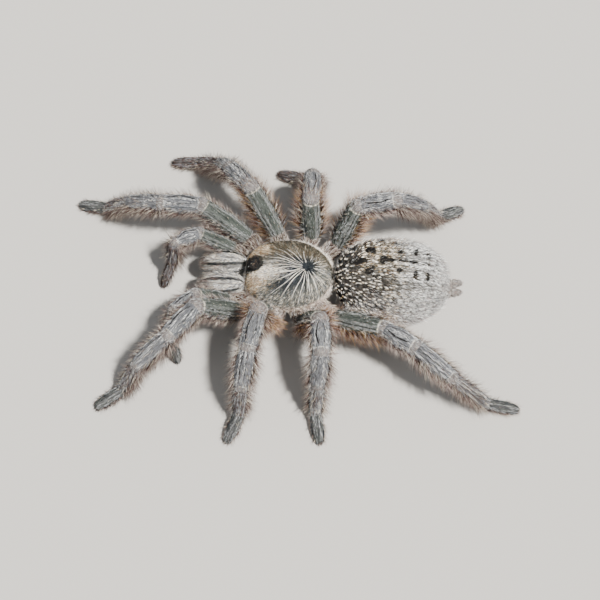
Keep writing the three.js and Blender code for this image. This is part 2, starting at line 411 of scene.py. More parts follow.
def turned(profile: Sequence[Pair], steps: int = 24) -> bmesh.types.BMesh:
    """A closed solid of revolution round +X.

    Args:
        profile: pairs of a place along X and a radius, with a radius of 0 at both ends.
        steps: facets round it.
    Returns:
        The solid.
    """
    bm = bmesh.new()
    verts = [bm.verts.new((x, 0, radius)) for x, radius in profile]
    edges = [bm.edges.new(pair) for pair in zip(verts, verts[1:])]
    whole = {"cent": (0, 0, 0), "axis": (1, 0, 0), "angle": TURN, "steps": steps, "use_merge": True}
    bmesh.ops.spin(bm, geom=verts + edges, **whole)
    bmesh.ops.remove_doubles(bm, verts=bm.verts, dist=1e-4)
    bmesh.ops.recalc_face_normals(bm, faces=bm.faces)
    return bm


def ball(size: Colour, steps: int) -> bmesh.types.BMesh:
    """An ellipsoid round the origin, with its poles on X and this many facets round them."""
    bm = bmesh.new()
    bmesh.ops.create_uvsphere(bm, u_segments=steps, v_segments=steps // 2, radius=0.5)
    bmesh.ops.rotate(bm, verts=bm.verts, matrix=Matrix.Rotation(math.pi / 2, 3, "Y"))
    bmesh.ops.scale(bm, verts=bm.verts, vec=size)
    return bm


def lay_map(bm: bmesh.types.BMesh) -> None:
    """Lays the skin's map on a solid that lies along X: the way round it, and along it."""
    layer = bm.loops.layers.uv.new(SKIN_MAP)
    low = min(v.co.x for v in bm.verts)
    length = max(v.co.x for v in bm.verts) - low
    for face in bm.faces:
        rounds = {v: math.atan2(v.co.y, v.co.z) / TURN + TOP for v in face.verts}
        middle = face.calc_center_median()
        own = math.atan2(middle.y, middle.z) / TURN + TOP
        for loop in face.loops:
            spot = loop.vert.co
            at_pole = abs(spot.y) + abs(spot.z) < 1e-4
            round_it = own if at_pole else rounds[loop.vert]
            round_it += round(own - round_it)
            loop[layer].uv = (round_it, (spot.x - low) / length)


def piece(
    name: str, bm: bmesh.types.BMesh, material: bpy.types.Material, slot: str, *nodes: str
) -> bpy.types.Object:
    """Turns a finished bmesh in millimetres into a piece of the specimen.

    Args:
        name: the piece's name.
        bm: its shape, which is freed.
        material: its finish.
        slot: not used.
        nodes: CAD nodes that it stands for.
    Returns:
        The piece, riding on the root body.
    """
    mesh = bpy.data.meshes.new(name)
    bmesh.ops.scale(bm, verts=bm.verts, vec=(MM, MM, MM))
    bm.to_mesh(mesh)
    bm.free()
    mesh.shade_smooth()
    return enlist(name, mesh, material, slot, *nodes)


def enlist(
    name: str, mesh: bpy.types.Mesh, material: bpy.types.Material, slot: str, *nodes: str
) -> bpy.types.Object:
    """Makes a piece of a finished mesh in metres. The arguments are those of piece."""
    mesh.materials.append(material)
    made = bpy.data.objects.new(name, mesh)
    bpy.context.scene.collection.objects.link(made)
    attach(made, "root")
    if nodes:
        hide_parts(*nodes)
    return made


def profile_of(
    length: float, radii: Sequence[float], blunt: float = 0.09, steps: int = 16
) -> list[Pair]:
    """The outline of a rounded rod.

    Args:
        length: its length.
        radii: its radius at even steps from the near end to the far end.
        blunt: the share of the length that each rounded end takes.
        steps: stations along it.
    Returns:
        Pairs of a place along the rod and a radius.
    """
    stations = (1 - np.cos(np.linspace(0, math.pi, steps + 1))) / 2
    swell = np.interp(stations, np.linspace(0, 1, len(radii)), radii)
    inside = np.clip(np.minimum(stations, 1 - stations) / blunt, 0, 1)
    caps = np.sqrt(1 - (1 - inside) ** 2)
    return [(float(s * length), float(r)) for s, r in zip(stations, swell * caps)]


# ------------------------------------------------------------------ finishes


@dataclass(frozen=True)
class Stripe:
    """A lengthwise line on an article, on both sides of its top."""

    away: float  # from the top, as a share of the way round
    half: float
    tone: Tone
    bow: float = 0.0  # how much further out it is half way along
    amount: float = 1.0
    fade: float = 0.0  # how much fainter the line is on one side
    start: float = 0.06  # shares of the article's length
    end: float = 0.93

    SOFT_END = 0.03

    def strength(self, around: Field, length: Field) -> Field:
        """How much of the stripe shows at a point.

        Args:
            around: the share of the way round.
            length: the share of the way along.
        Returns:
            The stripe's amount on it and 0 off it.
        """
        offset = abs(around - TOP) - self.bow * sine(length * math.pi)
        soft = self.SOFT_END
        past_start, past_end = (smooth(length, at - soft, at + soft) for at in (self.start, self.end))
        line = band(offset, self.away, self.half, self.half * 0.8) * past_start * (1 - past_end)
        return line * self.amount * (1 - self.fade * smooth(around, 0.49, 0.51))


@dataclass(frozen=True)
class HideFinish:
    """The thin skin under a coat of hair: one ground colour, cloudy, with stripes and a pale ring."""

    name: str
    ground: Colour
    cloud: Colour
    stripes: tuple[Stripe, ...] = ()
    ring: float = 0.0  # how much of a thin pale ring shows at the far end
    underneath: Colour = (0.045, 0.03, 0.024)

    BRUSHING = (60, 3, 1)  # streaks round the article and along it
    RING_PLACE = 0.96  # share of the length

    def ring_strength(self, length: Field) -> Field:
        """How much of the ring shows at a share of the length."""
        return band(length, self.RING_PLACE, 0.006, 0.01) * self.ring

    def material(self) -> bpy.types.Material:
        """The finish as a material."""
        paint = Paint(self.name, roughness=0.72)
        place = paint.place()
        spot = paint.map(SKIN_MAP)
        around, length, _ = paint.split(spot)
        brushed = paint.noise(paint.stretch(spot, self.BRUSHING), 1.0)
        colour = paint.mix(smooth(brushed, 0.3, 0.7), self.ground, self.cloud)
        for stripe in self.stripes:
            colour = paint.mix(stripe.strength(around, length), colour, stripe.tone.value[1])
        colour = paint.mix(self.ring_strength(length), colour, Tone.CREAM.value[1])
        colour = paint.mix(smooth(abs(around - TOP), 0.26, 0.36), colour, self.underneath)
        return paint.finish(colour, paint.noise(place, 6.0, 2.0) * 0.12)


@dataclass(frozen=True)
class ShieldFinish:
    """The carapace: grey, olive on its right, round a dark star that leans forwards and to the left."""

    pit: Vector
    lean: float = math.radians(-150)  # the bearing in which the dark star reaches furthest
    star: float = 2.6  # how far it reaches all round
    wide_lobe: float = 4.2  # how much further it reaches on the side that it leans to
    point: float = 4.2  # and how much further again in its point

    def darkness(self, x: Field, y: Field) -> Field:
        """How dark the star is at a point.

        Args:
            x: the point's place along the body.
            y: the point's place across it.
        Returns:
            1 in the star and 0 outside it.
        """
        back, across = x - self.pit.x, y - self.pit.y
        out = reach(back, across)
        towards = (back * math.cos(self.lean) + across * math.sin(self.lean)) / (out + 0.01)
        lobe, point = smooth(towards, -0.2, 0.95), smooth(towards, 0.8, 1.0)
        edge = lobe * self.wide_lobe + point * self.point + self.star
        return 1 - smooth(out / edge, 0.55, 1.2)

    def far_side(self, y: Field) -> Field:
        """0 on the left, and 1 on the right."""
        return smooth(y - self.pit.y, -1.0, 4.0)

    def material(self) -> bpy.types.Material:
        """The finish as a material."""
        paint = Paint("carapace_hide", roughness=0.7)
        place = paint.place()
        x, y, _ = paint.split(place)
        clouds = smooth(paint.noise(place, 0.8), 0.35, 0.7)
        colour = paint.mix(clouds, (0.06, 0.062, 0.056), (0.12, 0.122, 0.106))
        colour = paint.mix(self.far_side(y), colour, (0.075, 0.062, 0.042))
        colour = paint.mix(self.darkness(x, y), colour, (0.012, 0.016, 0.021))
        return paint.finish(colour, paint.noise(place, 6.0, 2.0) * 0.15)


@dataclass(frozen=True)
class ClothFinish:
    """Velvety skin in cloudy patches of three colours, with no map."""

    name: str
    dark: Colour
    middle: Colour
    light: Colour
    size: float = 1.0  # of the patches, in waves to the millimetre

    def material(self) -> bpy.types.Material:
        """The finish as a material."""
        paint = Paint(self.name, roughness=0.8)
        place = paint.place()
        broad = paint.noise(place, self.size)
        stops = ((0.32, self.dark), (0.5, self.middle), (0.68, self.light))
        return paint.finish(paint.ramp(broad, stops), paint.noise(place, 5.0, 2.0) * 0.15)


@dataclass(frozen=True)
class HornFinish:
    """Bare polished shell, as on claws, fangs and eyes."""

    name: str
    dark: Colour
    light: Colour
    roughness: float = 0.22

    def material(self) -> bpy.types.Material:
        """The finish as a material."""
        paint = Paint(self.name, roughness=self.roughness, gloss=0.5)
        paint.shader.inputs["Coat Weight"].default_value = 0.6
        streaks = paint.noise(paint.stretch(paint.place(), (0.5, 2.0, 2.0)), 1.5)
        return paint.finish(paint.mix(smooth(streaks, 0.35, 0.7), self.dark, self.light))


EYE_MOUND_HIDE = ClothFinish(
    "eye_mound_hide", (0.006, 0.006, 0.007), (0.014, 0.013, 0.013), (0.04, 0.036, 0.032)
)
EYE_LENS = HornFinish("eye_lens", (0.004, 0.003, 0.003), (0.02, 0.012, 0.008), 0.06)
HORN = HornFinish("horn", (0.006, 0.004, 0.004), (0.03, 0.012, 0.01))
ABDOMEN_HIDE = ClothFinish(
    "abdomen_hide", (0.022, 0.02, 0.018), (0.075, 0.068, 0.056), (0.16, 0.148, 0.13), 0.8
)
UNDERSIDE_HIDE = ClothFinish(
    "underside_hide", (0.022, 0.014, 0.011), (0.045, 0.03, 0.024), (0.08, 0.06, 0.05), 1.2
)
SPINNERET_HIDE = ClothFinish(
    "spinneret_hide", (0.10, 0.09, 0.08), (0.2, 0.18, 0.165), (0.32, 0.30, 0.28), 1.5
)
JOINT_SKIN = ClothFinish("joint_skin", (0.10, 0.085, 0.08), (0.17, 0.15, 0.14), (0.24, 0.22, 0.2), 2.0)


class HairFinish:
    """Every hair's finish: the map's first number picks the tone, its second runs root to tip."""

    CELL_EDGE = 0.12  # share of a tone's cell that is kept clear at each end
    DIM, BRIGHT = 0.2, 1.9  # how much a tone varies from hair to hair

    @classmethod
    def across(cls, tones: np.ndarray, shades: np.ndarray) -> np.ndarray:
        """Where hairs lie in the map's first number.

        Args:
            tones: the place of each hair's tone.
            shades: how bright each hair is within its tone, from 0 to 1.
        Returns:
            Numbers from 0 to 1.
        """
        inner = cls.CELL_EDGE + shades * (1 - 2 * cls.CELL_EDGE)
        return (tones + inner) / len(Tone)

    def material(self) -> bpy.types.Material:
        """The finish as a material."""
        paint = Paint("hair", roughness=0.6)
        across, up, _ = paint.split(paint.map(HAIR_MAP))
        roots, tips = (
            paint.ramp(across, [(tone.place / len(Tone), tone.value[end]) for tone in Tone], steps=True)
            for end in (0, 1)
        )
        colour = paint.mix(smooth(up, 0.0, 0.75), roots, tips)
        scaled = across * float(len(Tone))
        within = scaled - scaled.maths("FLOOR", scaled)
        level = within * (self.BRIGHT - self.DIM) + self.DIM
        inputs = {0: colour, "Scale": level}
        return paint.finish(paint.add("ShaderNodeVectorMath", {"operation": "SCALE"}, inputs))


# ------------------------------------------------------------------ hair


@dataclass(frozen=True)
class Roots:
    """Where hairs grow: one row or number for each."""

    spots: np.ndarray
    normals: np.ndarray
    around: np.ndarray  # the skin's map
    length: np.ndarray

    def __len__(self) -> int:
        """How many there are."""
        return len(self.spots)

    def where(self, chosen: np.ndarray) -> "Roots":
        """The roots that a mask keeps, or that numbers pick out."""
        return Roots(*(rows[chosen] for rows in (self.spots, self.normals, self.around, self.length)))

    @property
    def up(self) -> np.ndarray:
        """How much each one's skin faces up, from -1 to 1."""
        return self.normals[:, 2]

    @property
    def away(self) -> np.ndarray:
        """How far each one is from the top, as a share of the way round."""
        return abs(self.around - TOP)


def unit(rows: np.ndarray) -> np.ndarray:
    """Each row at a length of 1."""
    return rows / np.maximum(np.linalg.norm(rows, axis=1, keepdims=True), 1e-9)


@dataclass
class Ground:
    """A skin's surface in millimetres, as something that hairs grow on."""

    skin: bpy.types.Object
    rng: np.random.Generator

    def __post_init__(self) -> None:
        """Reads the skin's triangles, and puts them in an order that is the same each time."""
        mesh = self.skin.data
        mesh.calc_loop_triangles()
        shape = (len(mesh.loop_triangles), 3)
        corners, loops = np.empty(shape, int), np.empty(shape, int)
        mesh.loop_triangles.foreach_get("vertices", corners.reshape(-1))
        mesh.loop_triangles.foreach_get("loops", loops.reshape(-1))
        turns = corners.argsort(axis=1)
        corners, loops = (np.take_along_axis(rows, turns, axis=1) for rows in (corners, loops))
        order = np.lexsort(corners.T)
        corners, loops = corners[order], loops[order]
        spots = np.empty(3 * len(mesh.vertices))
        normals = np.empty(3 * len(mesh.vertices))
        mesh.vertices.foreach_get("co", spots)
        mesh.vertices.foreach_get("normal", normals)
        self.corners = spots.reshape(-1, 3)[corners] / MM
        self.normals = normals.reshape(-1, 3)[corners]
        layer = mesh.uv_layers.get(SKIN_MAP)
        places = np.zeros(2 * len(mesh.loops))
        if layer:
            layer.uv.foreach_get("vector", places)
        self.places = places.reshape(-1, 2)[loops]
        sides = self.corners[:, 1:] - self.corners[:, :1]
        self.areas = np.linalg.norm(np.cross(sides[:, 0], sides[:, 1]), axis=1) / 2

    def scatter(self, density: float) -> Roots:
        """Random roots all over the skin.

        Args:
            density: hairs to the square millimetre.
        Returns:
            The roots.
        """
        count = int(self.areas.sum() * density)
        chosen = self.rng.choice(len(self.areas), count, p=self.areas / self.areas.sum())
        first, second = self.rng.random((2, count, 1))
        over = first + second > 1
        first, second = np.where(over, 1 - first, first), np.where(over, 1 - second, second)
        weights = np.stack([1 - first - second, first, second], axis=1)
        spots = (self.corners[chosen] * weights).sum(axis=1)
        normals = unit((self.normals[chosen] * weights).sum(axis=1))
        places = (self.places[chosen] * weights).sum(axis=1)
        return Roots(spots, normals, places[:, 0], places[:, 1])


def spaced(roots: Roots, gap: float) -> Roots:
    """The roots that stay when none may be closer than the gap to one before it."""
    kept: list[int] = []
    for number, spot in enumerate(roots.spots):
        if not kept or np.linalg.norm(roots.spots[kept] - spot, axis=1).min() > gap:
            kept.append(number)
    return roots.where(np.array(kept))


@dataclass(frozen=True)
class Cut:
    """The shape of one kind of hair."""

    length: Pair  # shortest and longest, in millimetres
    width: float  # radius at the root
    lift: Pair  # degrees off the skin
    stray: float  # degrees of random turn within the skin
    droop: float = 0.15  # how far the tip bends back towards the skin, as a share of the length
    joints: int = 1  # stretches along a hair


class Pelt:
    """The hairs of one piece, gathered and then made into one mesh."""

    SIDES = 3
    FLOOR = 0.02  # hairs lie down on the ground instead of going through it
    CHANGE = 0.28  # how far the brightness of hairs differs at random
    TAPER = 0.55  # how much thinner a hair gets along its length, before its tip
    ROOT_STEP = 0.04  # a small stretch of the map for the closed root
    MAP_WIDTH = 0.05  # a hair's width in the map, in cells

    def __init__(self, name: str, rng: np.random.Generator) -> None:
        """Starts with no hairs."""
        self.name = name
        self.rng = rng
        self.spots: list[np.ndarray] = []
        self.faces: list[np.ndarray] = []
        self.places: list[np.ndarray] = []
        self.total = 0

    def grow(
        self, roots: Roots, flow: np.ndarray, cut: Cut, tones: np.ndarray,
        scale: Union[np.ndarray, float] = 1.0, shades: Union[np.ndarray, float] = 0.5,
    ) -> None:
        """Adds a hair at each root.

        Args:
            roots: where they grow.
            flow: which way each one is combed, or all of them.
            cut: their shape.
            tones: the place of each hair's tone.
            scale: makes each hair longer or shorter than its cut says.
            shades: how bright each is within its tone, from 0 to 1, before a random change.
        """
        count = len(roots)
        if not count:
            return
        rng = self.rng
        normals = roots.normals
        combed = unit(flow - normals * (flow * normals).sum(axis=1, keepdims=True))
        aside = np.cross(normals, combed)
        stray = np.radians(rng.normal(0, cut.stray, (count, 1)))
        combed = combed * np.cos(stray) + aside * np.sin(stray)
        lift = np.radians(rng.uniform(*cut.lift, (count, 1)))
        ways = combed * np.cos(lift) + normals * np.sin(lift)
        lengths = rng.uniform(*cut.length, (count, 1)) * np.reshape(scale, (-1, 1))
        first = unit(np.cross(ways, normals + 0.01))
        second = np.cross(ways, first)
        shares = np.linspace(0, 1, cut.joints + 1)
        rings = []
        for share in shares[:-1]:
            centre = roots.spots + lengths * (ways * share - normals * cut.droop * share**2)
            for corner in range(self.SIDES):
                angle = TURN * corner / self.SIDES
                out = first * math.cos(angle) + second * math.sin(angle)
                rings.append(centre + out * cut.width * (1 - self.TAPER * share))
        rings.append(roots.spots + lengths * (ways - normals * cut.droop))
        spots = np.stack(rings, axis=1)
        spots[:, :, 2] = np.maximum(spots[:, :, 2], self.FLOOR)
        pattern = self.pattern(cut.joints)
        size = spots.shape[1]
        starts = self.total + np.arange(count) * size
        self.faces.append((pattern + starts[:, None, None]).reshape(-1, 3))
        self.spots.append(spots.reshape(-1, 3))
        self.total += count * size
        shades = np.clip(shades + rng.uniform(-self.CHANGE, self.CHANGE, count), 0, 1)
        across = HairFinish.across(tones, shades)
        corners = pattern.reshape(-1)
        ring = corners // self.SIDES
        up = np.where(corners == size - 1, 1.0, ring / cut.joints)
        up[:3] += (0.0, self.ROOT_STEP, 0.0)
        wide = (corners % self.SIDES - 1.0) * self.MAP_WIDTH / len(Tone)
        wide[corners == size - 1] = 0
        place = np.stack([across[:, None] + wide, np.broadcast_to(up, (count, len(up)))], axis=2)
        self.places.append(place.reshape(-1, 2))

    def pattern(self, joints: int) -> np.ndarray:
        """The triangles of one hair, as the numbers of its corners, with its closed root first."""
        sides = self.SIDES
        rows = [(0, 2, 1)]
        for joint in range(joints - 1):
            for side in range(sides):
                a, b = joint * sides + side, joint * sides + (side + 1) % sides
                rows += [(a, b, b + sides), (a, b + sides, a + sides)]
        last, tip = (joints - 1) * sides, joints * sides
        rows += [(last + side, last + (side + 1) % sides, tip) for side in range(sides)]
        return np.array(rows)

    def make(self, slot: str, material: bpy.types.Material) -> bpy.types.Object:
        """Makes the piece.

        Args:
            slot: not used.
            material: the hair's finish.
        Returns:
            The piece.
        """
        mesh = bpy.data.meshes.new(self.name)
        spots = np.concatenate(self.spots) * MM
        faces = np.concatenate(self.faces)
        mesh.vertices.add(len(spots))
        mesh.vertices.foreach_set("co", spots.ravel())
        mesh.loops.add(faces.size)
        mesh.loops.foreach_set("vertex_index", faces.ravel())
        mesh.polygons.add(len(faces))
        mesh.polygons.foreach_set("loop_start", np.arange(0, faces.size, 3))
        mesh.update(calc_edges=True)
        layer = mesh.uv_layers.new(name=HAIR_MAP)
        layer.uv.foreach_set("vector", np.concatenate(self.places).ravel())
        mesh.shade_smooth()
        log.info("%s: %d triangles of hair", self.name, len(faces))
        return enlist(self.name, mesh, material, slot)


def pick(rng: np.random.Generator, count: int, mix: Mix) -> np.ndarray:
    """Random tones.

    Args:
        rng: where the draws come from.
        count: how many.
        mix: what they are drawn from.
    Returns:
        The place of each drawn tone.
    """
    odds = np.array([share for _, share in mix])
    places = np.array([tone.place for tone, _ in mix])
    return rng.choice(places, count, p=odds / odds.sum())


def ordered(shares: np.ndarray, mix: Mix) -> np.ndarray:
    """Tones in order.

    Args:
        shares: numbers from 0 to 1.
        mix: tones, and each one's part of the way from 0 to 1.
    Returns:
        The place of the tone that each share falls on.
    """
    parts = np.cumsum([part for _, part in mix])
    places = np.array([tone.place for tone, _ in mix])
    return places[np.minimum(np.searchsorted(parts / parts[-1], shares), len(places) - 1)]


def streaks(
    rng: np.random.Generator, around: np.ndarray, length: np.ndarray, columns: int
) -> np.ndarray:
    """Brightness in narrow lengthwise streaks that change slowly, as brushed hair has.

    Args:
        rng: where the streaks come from.
        around: the share of the way round, for each hair.
        length: the share of the way along.
        columns: streaks all the way round.
    Returns:
        Numbers from 0 to 1.
    """
    rows, contrast = 3, 2.2
    table = rng.random((rows + 1, columns))
    column = (around * columns).astype(int) % columns
    row = np.clip(length, 0, 0.999) * rows
    low = row.astype(int)
    value = table[low, column] * (1 - row + low) + table[low + 1, column] * (row - low)
    return np.clip(0.5 + (value - 0.5) * contrast, 0, 1)


# ------------------------------------------------------------------ sub-assemblies


@dataclass
class Carapace:
    """The domed shield over the front of the body, with its eye mound and its fringe."""

    hair: bpy.types.Material
    rng: np.random.Generator
    front_width: float = 0.7  # share of the whole width
    squareness: float = 3.0
    pit_share: float = 0.698  # where the pit is, as a share of the shield's length
    dome_swell: float = 0.8
    mound_size: Colour = (2.7, 3.3, 2.5)
    mound_share: Colour = (0.095, 0.525, 0.78)  # of the shield's box
    eyes: tuple[tuple[float, float, float], ...] = (
        (-0.22, 0.16, 0.42), (-0.42, 0.34, 0.36), (0.12, 0.26, 0.30), (0.20, 0.36, 0.36),
    )  # along, aside, and the eye's size, in shares of the mound or millimetres
    # Pale rays out of the pit: bearing in degrees, 0 rearwards and 90 to the right, length, half width.
    rays: tuple[tuple[float, float, float], ...] = (
        (-4, 4.0, 0.04), (-38, 4.2, 0.04), (-60, 7.3, 0.085), (-77, 6.4, 0.06), (-86, 5.0, 0.04),
        (-98, 8.2, 0.085), (-110, 8.2, 0.08), (-127, 9.3, 0.085), (-138, 10.2, 0.09), (-150, 8.0, 0.05),
        (-161, 9.6, 0.09), (-171, 7.8, 0.04), (-178, 9.4, 0.05), (173, 9.0, 0.04), (167, 10.0, 0.07),
        (158, 8.2, 0.04), (148, 7.4, 0.045), (137, 6.4, 0.04), (121, 5.6, 0.04), (104, 4.2, 0.06),
        (70, 3.4, 0.045), (34, 3.8, 0.04), (14, 4.2, 0.04),
    )
    # Pale patches, from the pit. The cream patch behind and left of the eye mound is cream hair, partly
    # painted light on the mound's lit near side.
    cream_patch: Patch = (-8.6, -1.7, 3.9, 1.8)
    golden_patches: tuple[Patch, ...] = ((-11.9, -3.9, 3.2, 2.5), (-12.0, 4.4, 3.4, 2.0))
    ray_width: float = 0.85  # share of the half widths above
    ray_bend: float = 0.16
    pit_depth: float = 0.9
    furrow_depth: float = 0.22
    head_groove: float = 0.35
    rim_height: float = 0.7  # of the shield's widest line, over its lowest corner
    coat_density: float = 42
    ray_density: float = 420
    fringe_density: float = 52

    GREYS = ((Tone.SAGE, 3), (Tone.SLATE, 2.2), (Tone.SILVER, 3), (Tone.CREAM, 3))
    OLIVES = (
        (Tone.OLIVE, 4), (Tone.TAN, 1.6), (Tone.BROWN, 2.2), (Tone.SAGE, 3), (Tone.CREAM, 1.5),
        (Tone.MOSS, 1.5),
    )
    STAR = ((Tone.SLATE, 5.5), (Tone.BLACK, 3.5), (Tone.SAGE, 1.2), (Tone.SILVER, 0.8))
    GOLDS = ((Tone.GOLD, 4), (Tone.CREAM, 3), (Tone.PINK, 1.6), (Tone.TAN, 1))
    CREAMS = ((Tone.CREAM, 6), (Tone.WHITE, 4), (Tone.GOLD, 1), (Tone.SLATE, 0.6))
    # Round the eyes: dark hair with painted shadow on the mound's far side; the slate hairs are painted
    # blue-grey glints.
    ROUND_EYES = ((Tone.BLACK, 5), (Tone.SLATE, 1.5))
    ON_MOUND = ((Tone.BLACK, 6), (Tone.SLATE, 2), (Tone.TAN, 1))
    RAYS = ((Tone.WHITE, 3), (Tone.CREAM, 2))
    PALE_FRINGE = ((Tone.CREAM, 4), (Tone.WHITE, 2.5), (Tone.PINK, 2), (Tone.SILVER, 1))
    ROSY_FRINGE = ((Tone.CREAM, 3), (Tone.PINK, 5), (Tone.ROSE, 1.5), (Tone.TAN, 1.5))

    def __post_init__(self) -> None:
        """Reads the shield's box."""
        self.box = Box.of("carapace")
        pit_x = self.box.low.x + self.box.size.x * self.pit_share
        self.pit = Vector((pit_x, self.box.centre.y, self.box.high.z))
        self.margin = self.box.low.z + self.rim_height
        self.finish = ShieldFinish(self.pit)

    def shaped(self, p: Vector) -> Vector:
        """Where a point of a ball of radius 1 lies on the shield.

        Args:
            p: the ball's point.
        Returns:
            The shield's point.
        """
        out = math.hypot(p.x, p.y)
        x, y = p.x, p.y
        if out > 1e-6:
            power = 2 + self.squareness * max(0.0, -x / out)
            square = out / (abs(x) ** power + abs(y) ** power) ** (1 / power)
            x, y = x * square, y * square
        narrow = 1 - (1 - self.front_width) * x * x if x < 0 else 1.0
        centre, size = self.box.centre, self.box.size
        spot = Vector((centre.x + x * size.x / 2, centre.y + y * size.y / 2 * narrow, 0))
        rise = max(0.0, p.z) ** self.dome_swell * (self.box.high.z - self.margin)
        spot.z = self.margin + (rise - self.dent(spot) * min(1.0, rise / 2) if p.z > 0 else p.z * 0.7)
        return spot

    def dent(self, spot: Vector) -> float:
        """How deep the pit and the furrows that run from it are at a point."""
        back, across = spot.x - self.pit.x, spot.y - self.pit.y
        out = math.hypot(back * 1.5, across)
        pit = self.pit_depth * math.exp(-(math.hypot(back * 1.6, across * 0.8) ** 2))
        turn = math.atan2(across, back)
        furrows = self.furrow_depth * (0.5 + 0.5 * math.cos(turn * 8 + math.pi)) ** 3
        fade = math.exp(-(((out - 4.2) / 2.6) ** 2))
        bow = back + 2.2 + 0.16 * across * across
        behind_head = self.head_groove * math.exp(-(bow**2)) * (abs(across) > 0.01)
        return pit + furrows * fade + behind_head

    def build(self) -> None:
        """Makes the shield, the eye mound, the eyes and their hair."""
        bm = ball((2, 2, 2), 112)
        bmesh.ops.rotate(bm, verts=bm.verts, matrix=Matrix.Rotation(math.pi / 2, 3, "Y"))
        reshape(bm, self.shaped)
        bmesh.ops.recalc_face_normals(bm, faces=bm.faces)
        skin = piece("carapace_shield", bm, self.finish.material(), "carapace", "carapace")
        self.build_eyes()
        ground = Ground(skin, self.rng)
        self.coat(ground)
        self.fringe(ground)

    def build_eyes(self) -> None:
        """Makes the mound and its eight eyes."""
        middle = self.box.at(self.mound_share)
        bm = ball(self.mound_size, 32)
        bmesh.ops.translate(bm, verts=bm.verts, vec=middle)
        mound = piece("eye_mound", bm, EYE_MOUND_HIDE.material(), "carapace")
        bm = bmesh.new()
        half = Vector(self.mound_size) / 2
        for forward, aside, size in self.eyes:
            for side in Side:
                x, y = 2 * forward, 2 * aside * side.value
                up = math.sqrt(max(0.05, 1 - x * x - y * y))
                spot = middle + Vector((x * half.x, y * half.y, up * half.z))
                radius = size / 2 + 0.08
                lens = bmesh.ops.create_uvsphere(bm, u_segments=16, v_segments=10, radius=radius)
                bmesh.ops.translate(bm, verts=lens["verts"], vec=spot)
        piece("eyes", bm, EYE_LENS.material(), "fang")
        pelt = Pelt("eye_mound_hair", self.rng)
        roots = Ground(mound, self.rng).scatter(24)
        roots = roots.where(roots.up > -0.1)
        tones = pick(self.rng, len(roots), self.ON_MOUND)
        pelt.grow(roots, np.array((-1.0, 0.0, 0.2)), Cut((0.5, 1.0), 0.04, (15, 45), 25), tones)
        pelt.make("carapace", self.hair)

    def on_rays(self, x: np.ndarray, y: np.ndarray) -> np.ndarray:
        """True where a point lies on one of the pale rays."""
        back, across = x - self.pit.x, y - self.pit.y
        found = np.zeros(len(x), bool)
        for degrees, length, half in self.rays:
            cosine, sine_of = math.cos(math.radians(degrees)), math.sin(math.radians(degrees))
            forth = back * cosine + across * sine_of
            bend = self.ray_bend * np.sin(forth * 0.7 + degrees) * smooth(forth, 1.0, 3.5)
            aside = abs(across * cosine - back * sine_of + bend)
            tip = 1 - 0.5 * smooth(forth / length, 0.55, 1.0)
            root = 0.3 + 0.7 * smooth(forth, 1.2, 4.0)
            start = 0.7 + 15 * (0.09 - half) + 0.25 * math.sin(degrees)
            found |= (aside < self.ray_width * half * (tip * root)) & (forth > start) & (forth < length)
        return found

    def within(self, x: np.ndarray, y: np.ndarray, patch: Patch) -> np.ndarray:
        """True inside a patch with a ragged edge."""
        middle_x, middle_y, half_x, half_y = patch
        ragged = 1 + 0.3 * self.rng.normal(size=len(x))
        across = (y - self.pit.y - middle_y) / half_y
        return np.hypot((x - self.pit.x - middle_x) / half_x, across) < ragged

    def coat(self, ground: Ground) -> None:
        """Grows the short lying hair, and the hair of the rays on top of it."""
        roots = ground.scatter(self.coat_density)
        roots = roots.where(roots.up > 0.02)
        x, y = roots.spots[:, 0], roots.spots[:, 1]
        count, draw = len(roots), self.rng.random
        dark = self.finish.darkness(x, y)
        tones = pick(self.rng, count, self.GREYS)
        olive = pick(self.rng, count, self.OLIVES)
        tones = np.where(self.finish.far_side(y) > draw(count), olive, tones)
        slate = pick(self.rng, count, self.STAR)
        tones = np.where(dark * 1.15 > draw(count), slate, tones)
        pale = np.zeros(count, bool)
        for patches, mix in ((self.golden_patches, self.GOLDS), ((self.cream_patch,), self.CREAMS)):
            laid = pick(self.rng, count, mix)
            for patch in patches:
                inside = self.within(x, y, patch)
                pale |= inside
                tones = np.where(inside, laid, tones)
        # A dark round patch over the eyes, set towards the mound's far side: the eyes' own dark hair
        # plus painted shadow on the far side of the mound, with slate hairs as painted glints.
        mound = self.box.at(self.mound_share)
        from_eye_shade = np.hypot((x - mound.x - 0.2) / 2.3, (y - self.box.centre.y - 0.8) / 2.2)
        eyes = from_eye_shade < 0.9 + 0.2 * draw(count)
        tones = np.where(eyes, pick(self.rng, count, self.ROUND_EYES), tones)
        pelt = Pelt("carapace_coat", self.rng)
        turns = np.arctan2(y - self.pit.y, x - self.pit.x) / TURN + 0.5
        out = np.hypot(x - self.pit.x, y - self.pit.y)
        # The pale patches are brightened; on the cream patch this is partly a painted highlight.
        shine = streaks(self.rng, turns, out / 14, 150) + 0.6 * pale + 0.24 - 0.36 * dark
        cut = Cut((0.5, 1.0), 0.045, (6, 20), 8)
        pelt.grow(roots, self.flow(roots), cut, tones, 1 - 0.3 * dark, shine)
        self.grow_rays(ground, pelt)
        pelt.make("carapace", self.hair)

    def flow(self, roots: Roots) -> np.ndarray:
        """Hair is combed away from the pit."""
        return roots.spots * (1, 1, 0) - np.array((self.pit.x, self.pit.y, 0))

    def grow_rays(self, ground: Ground, pelt: Pelt) -> None:
        """Grows the pale hair of the rays."""
        roots = ground.scatter(self.ray_density)
        roots = roots.where((roots.up > 0.1) & self.on_rays(roots.spots[:, 0], roots.spots[:, 1]))
        tones = pick(self.rng, len(roots), self.RAYS)
        out = np.hypot(roots.spots[:, 0] - self.pit.x, roots.spots[:, 1] - self.pit.y)
        shades = 0.9 - 0.4 * smooth(out, 5.0, 9.5)
        pelt.grow(roots, self.flow(roots), Cut((0.45, 0.8), 0.032, (14, 26), 4), tones, 1.0, shades)

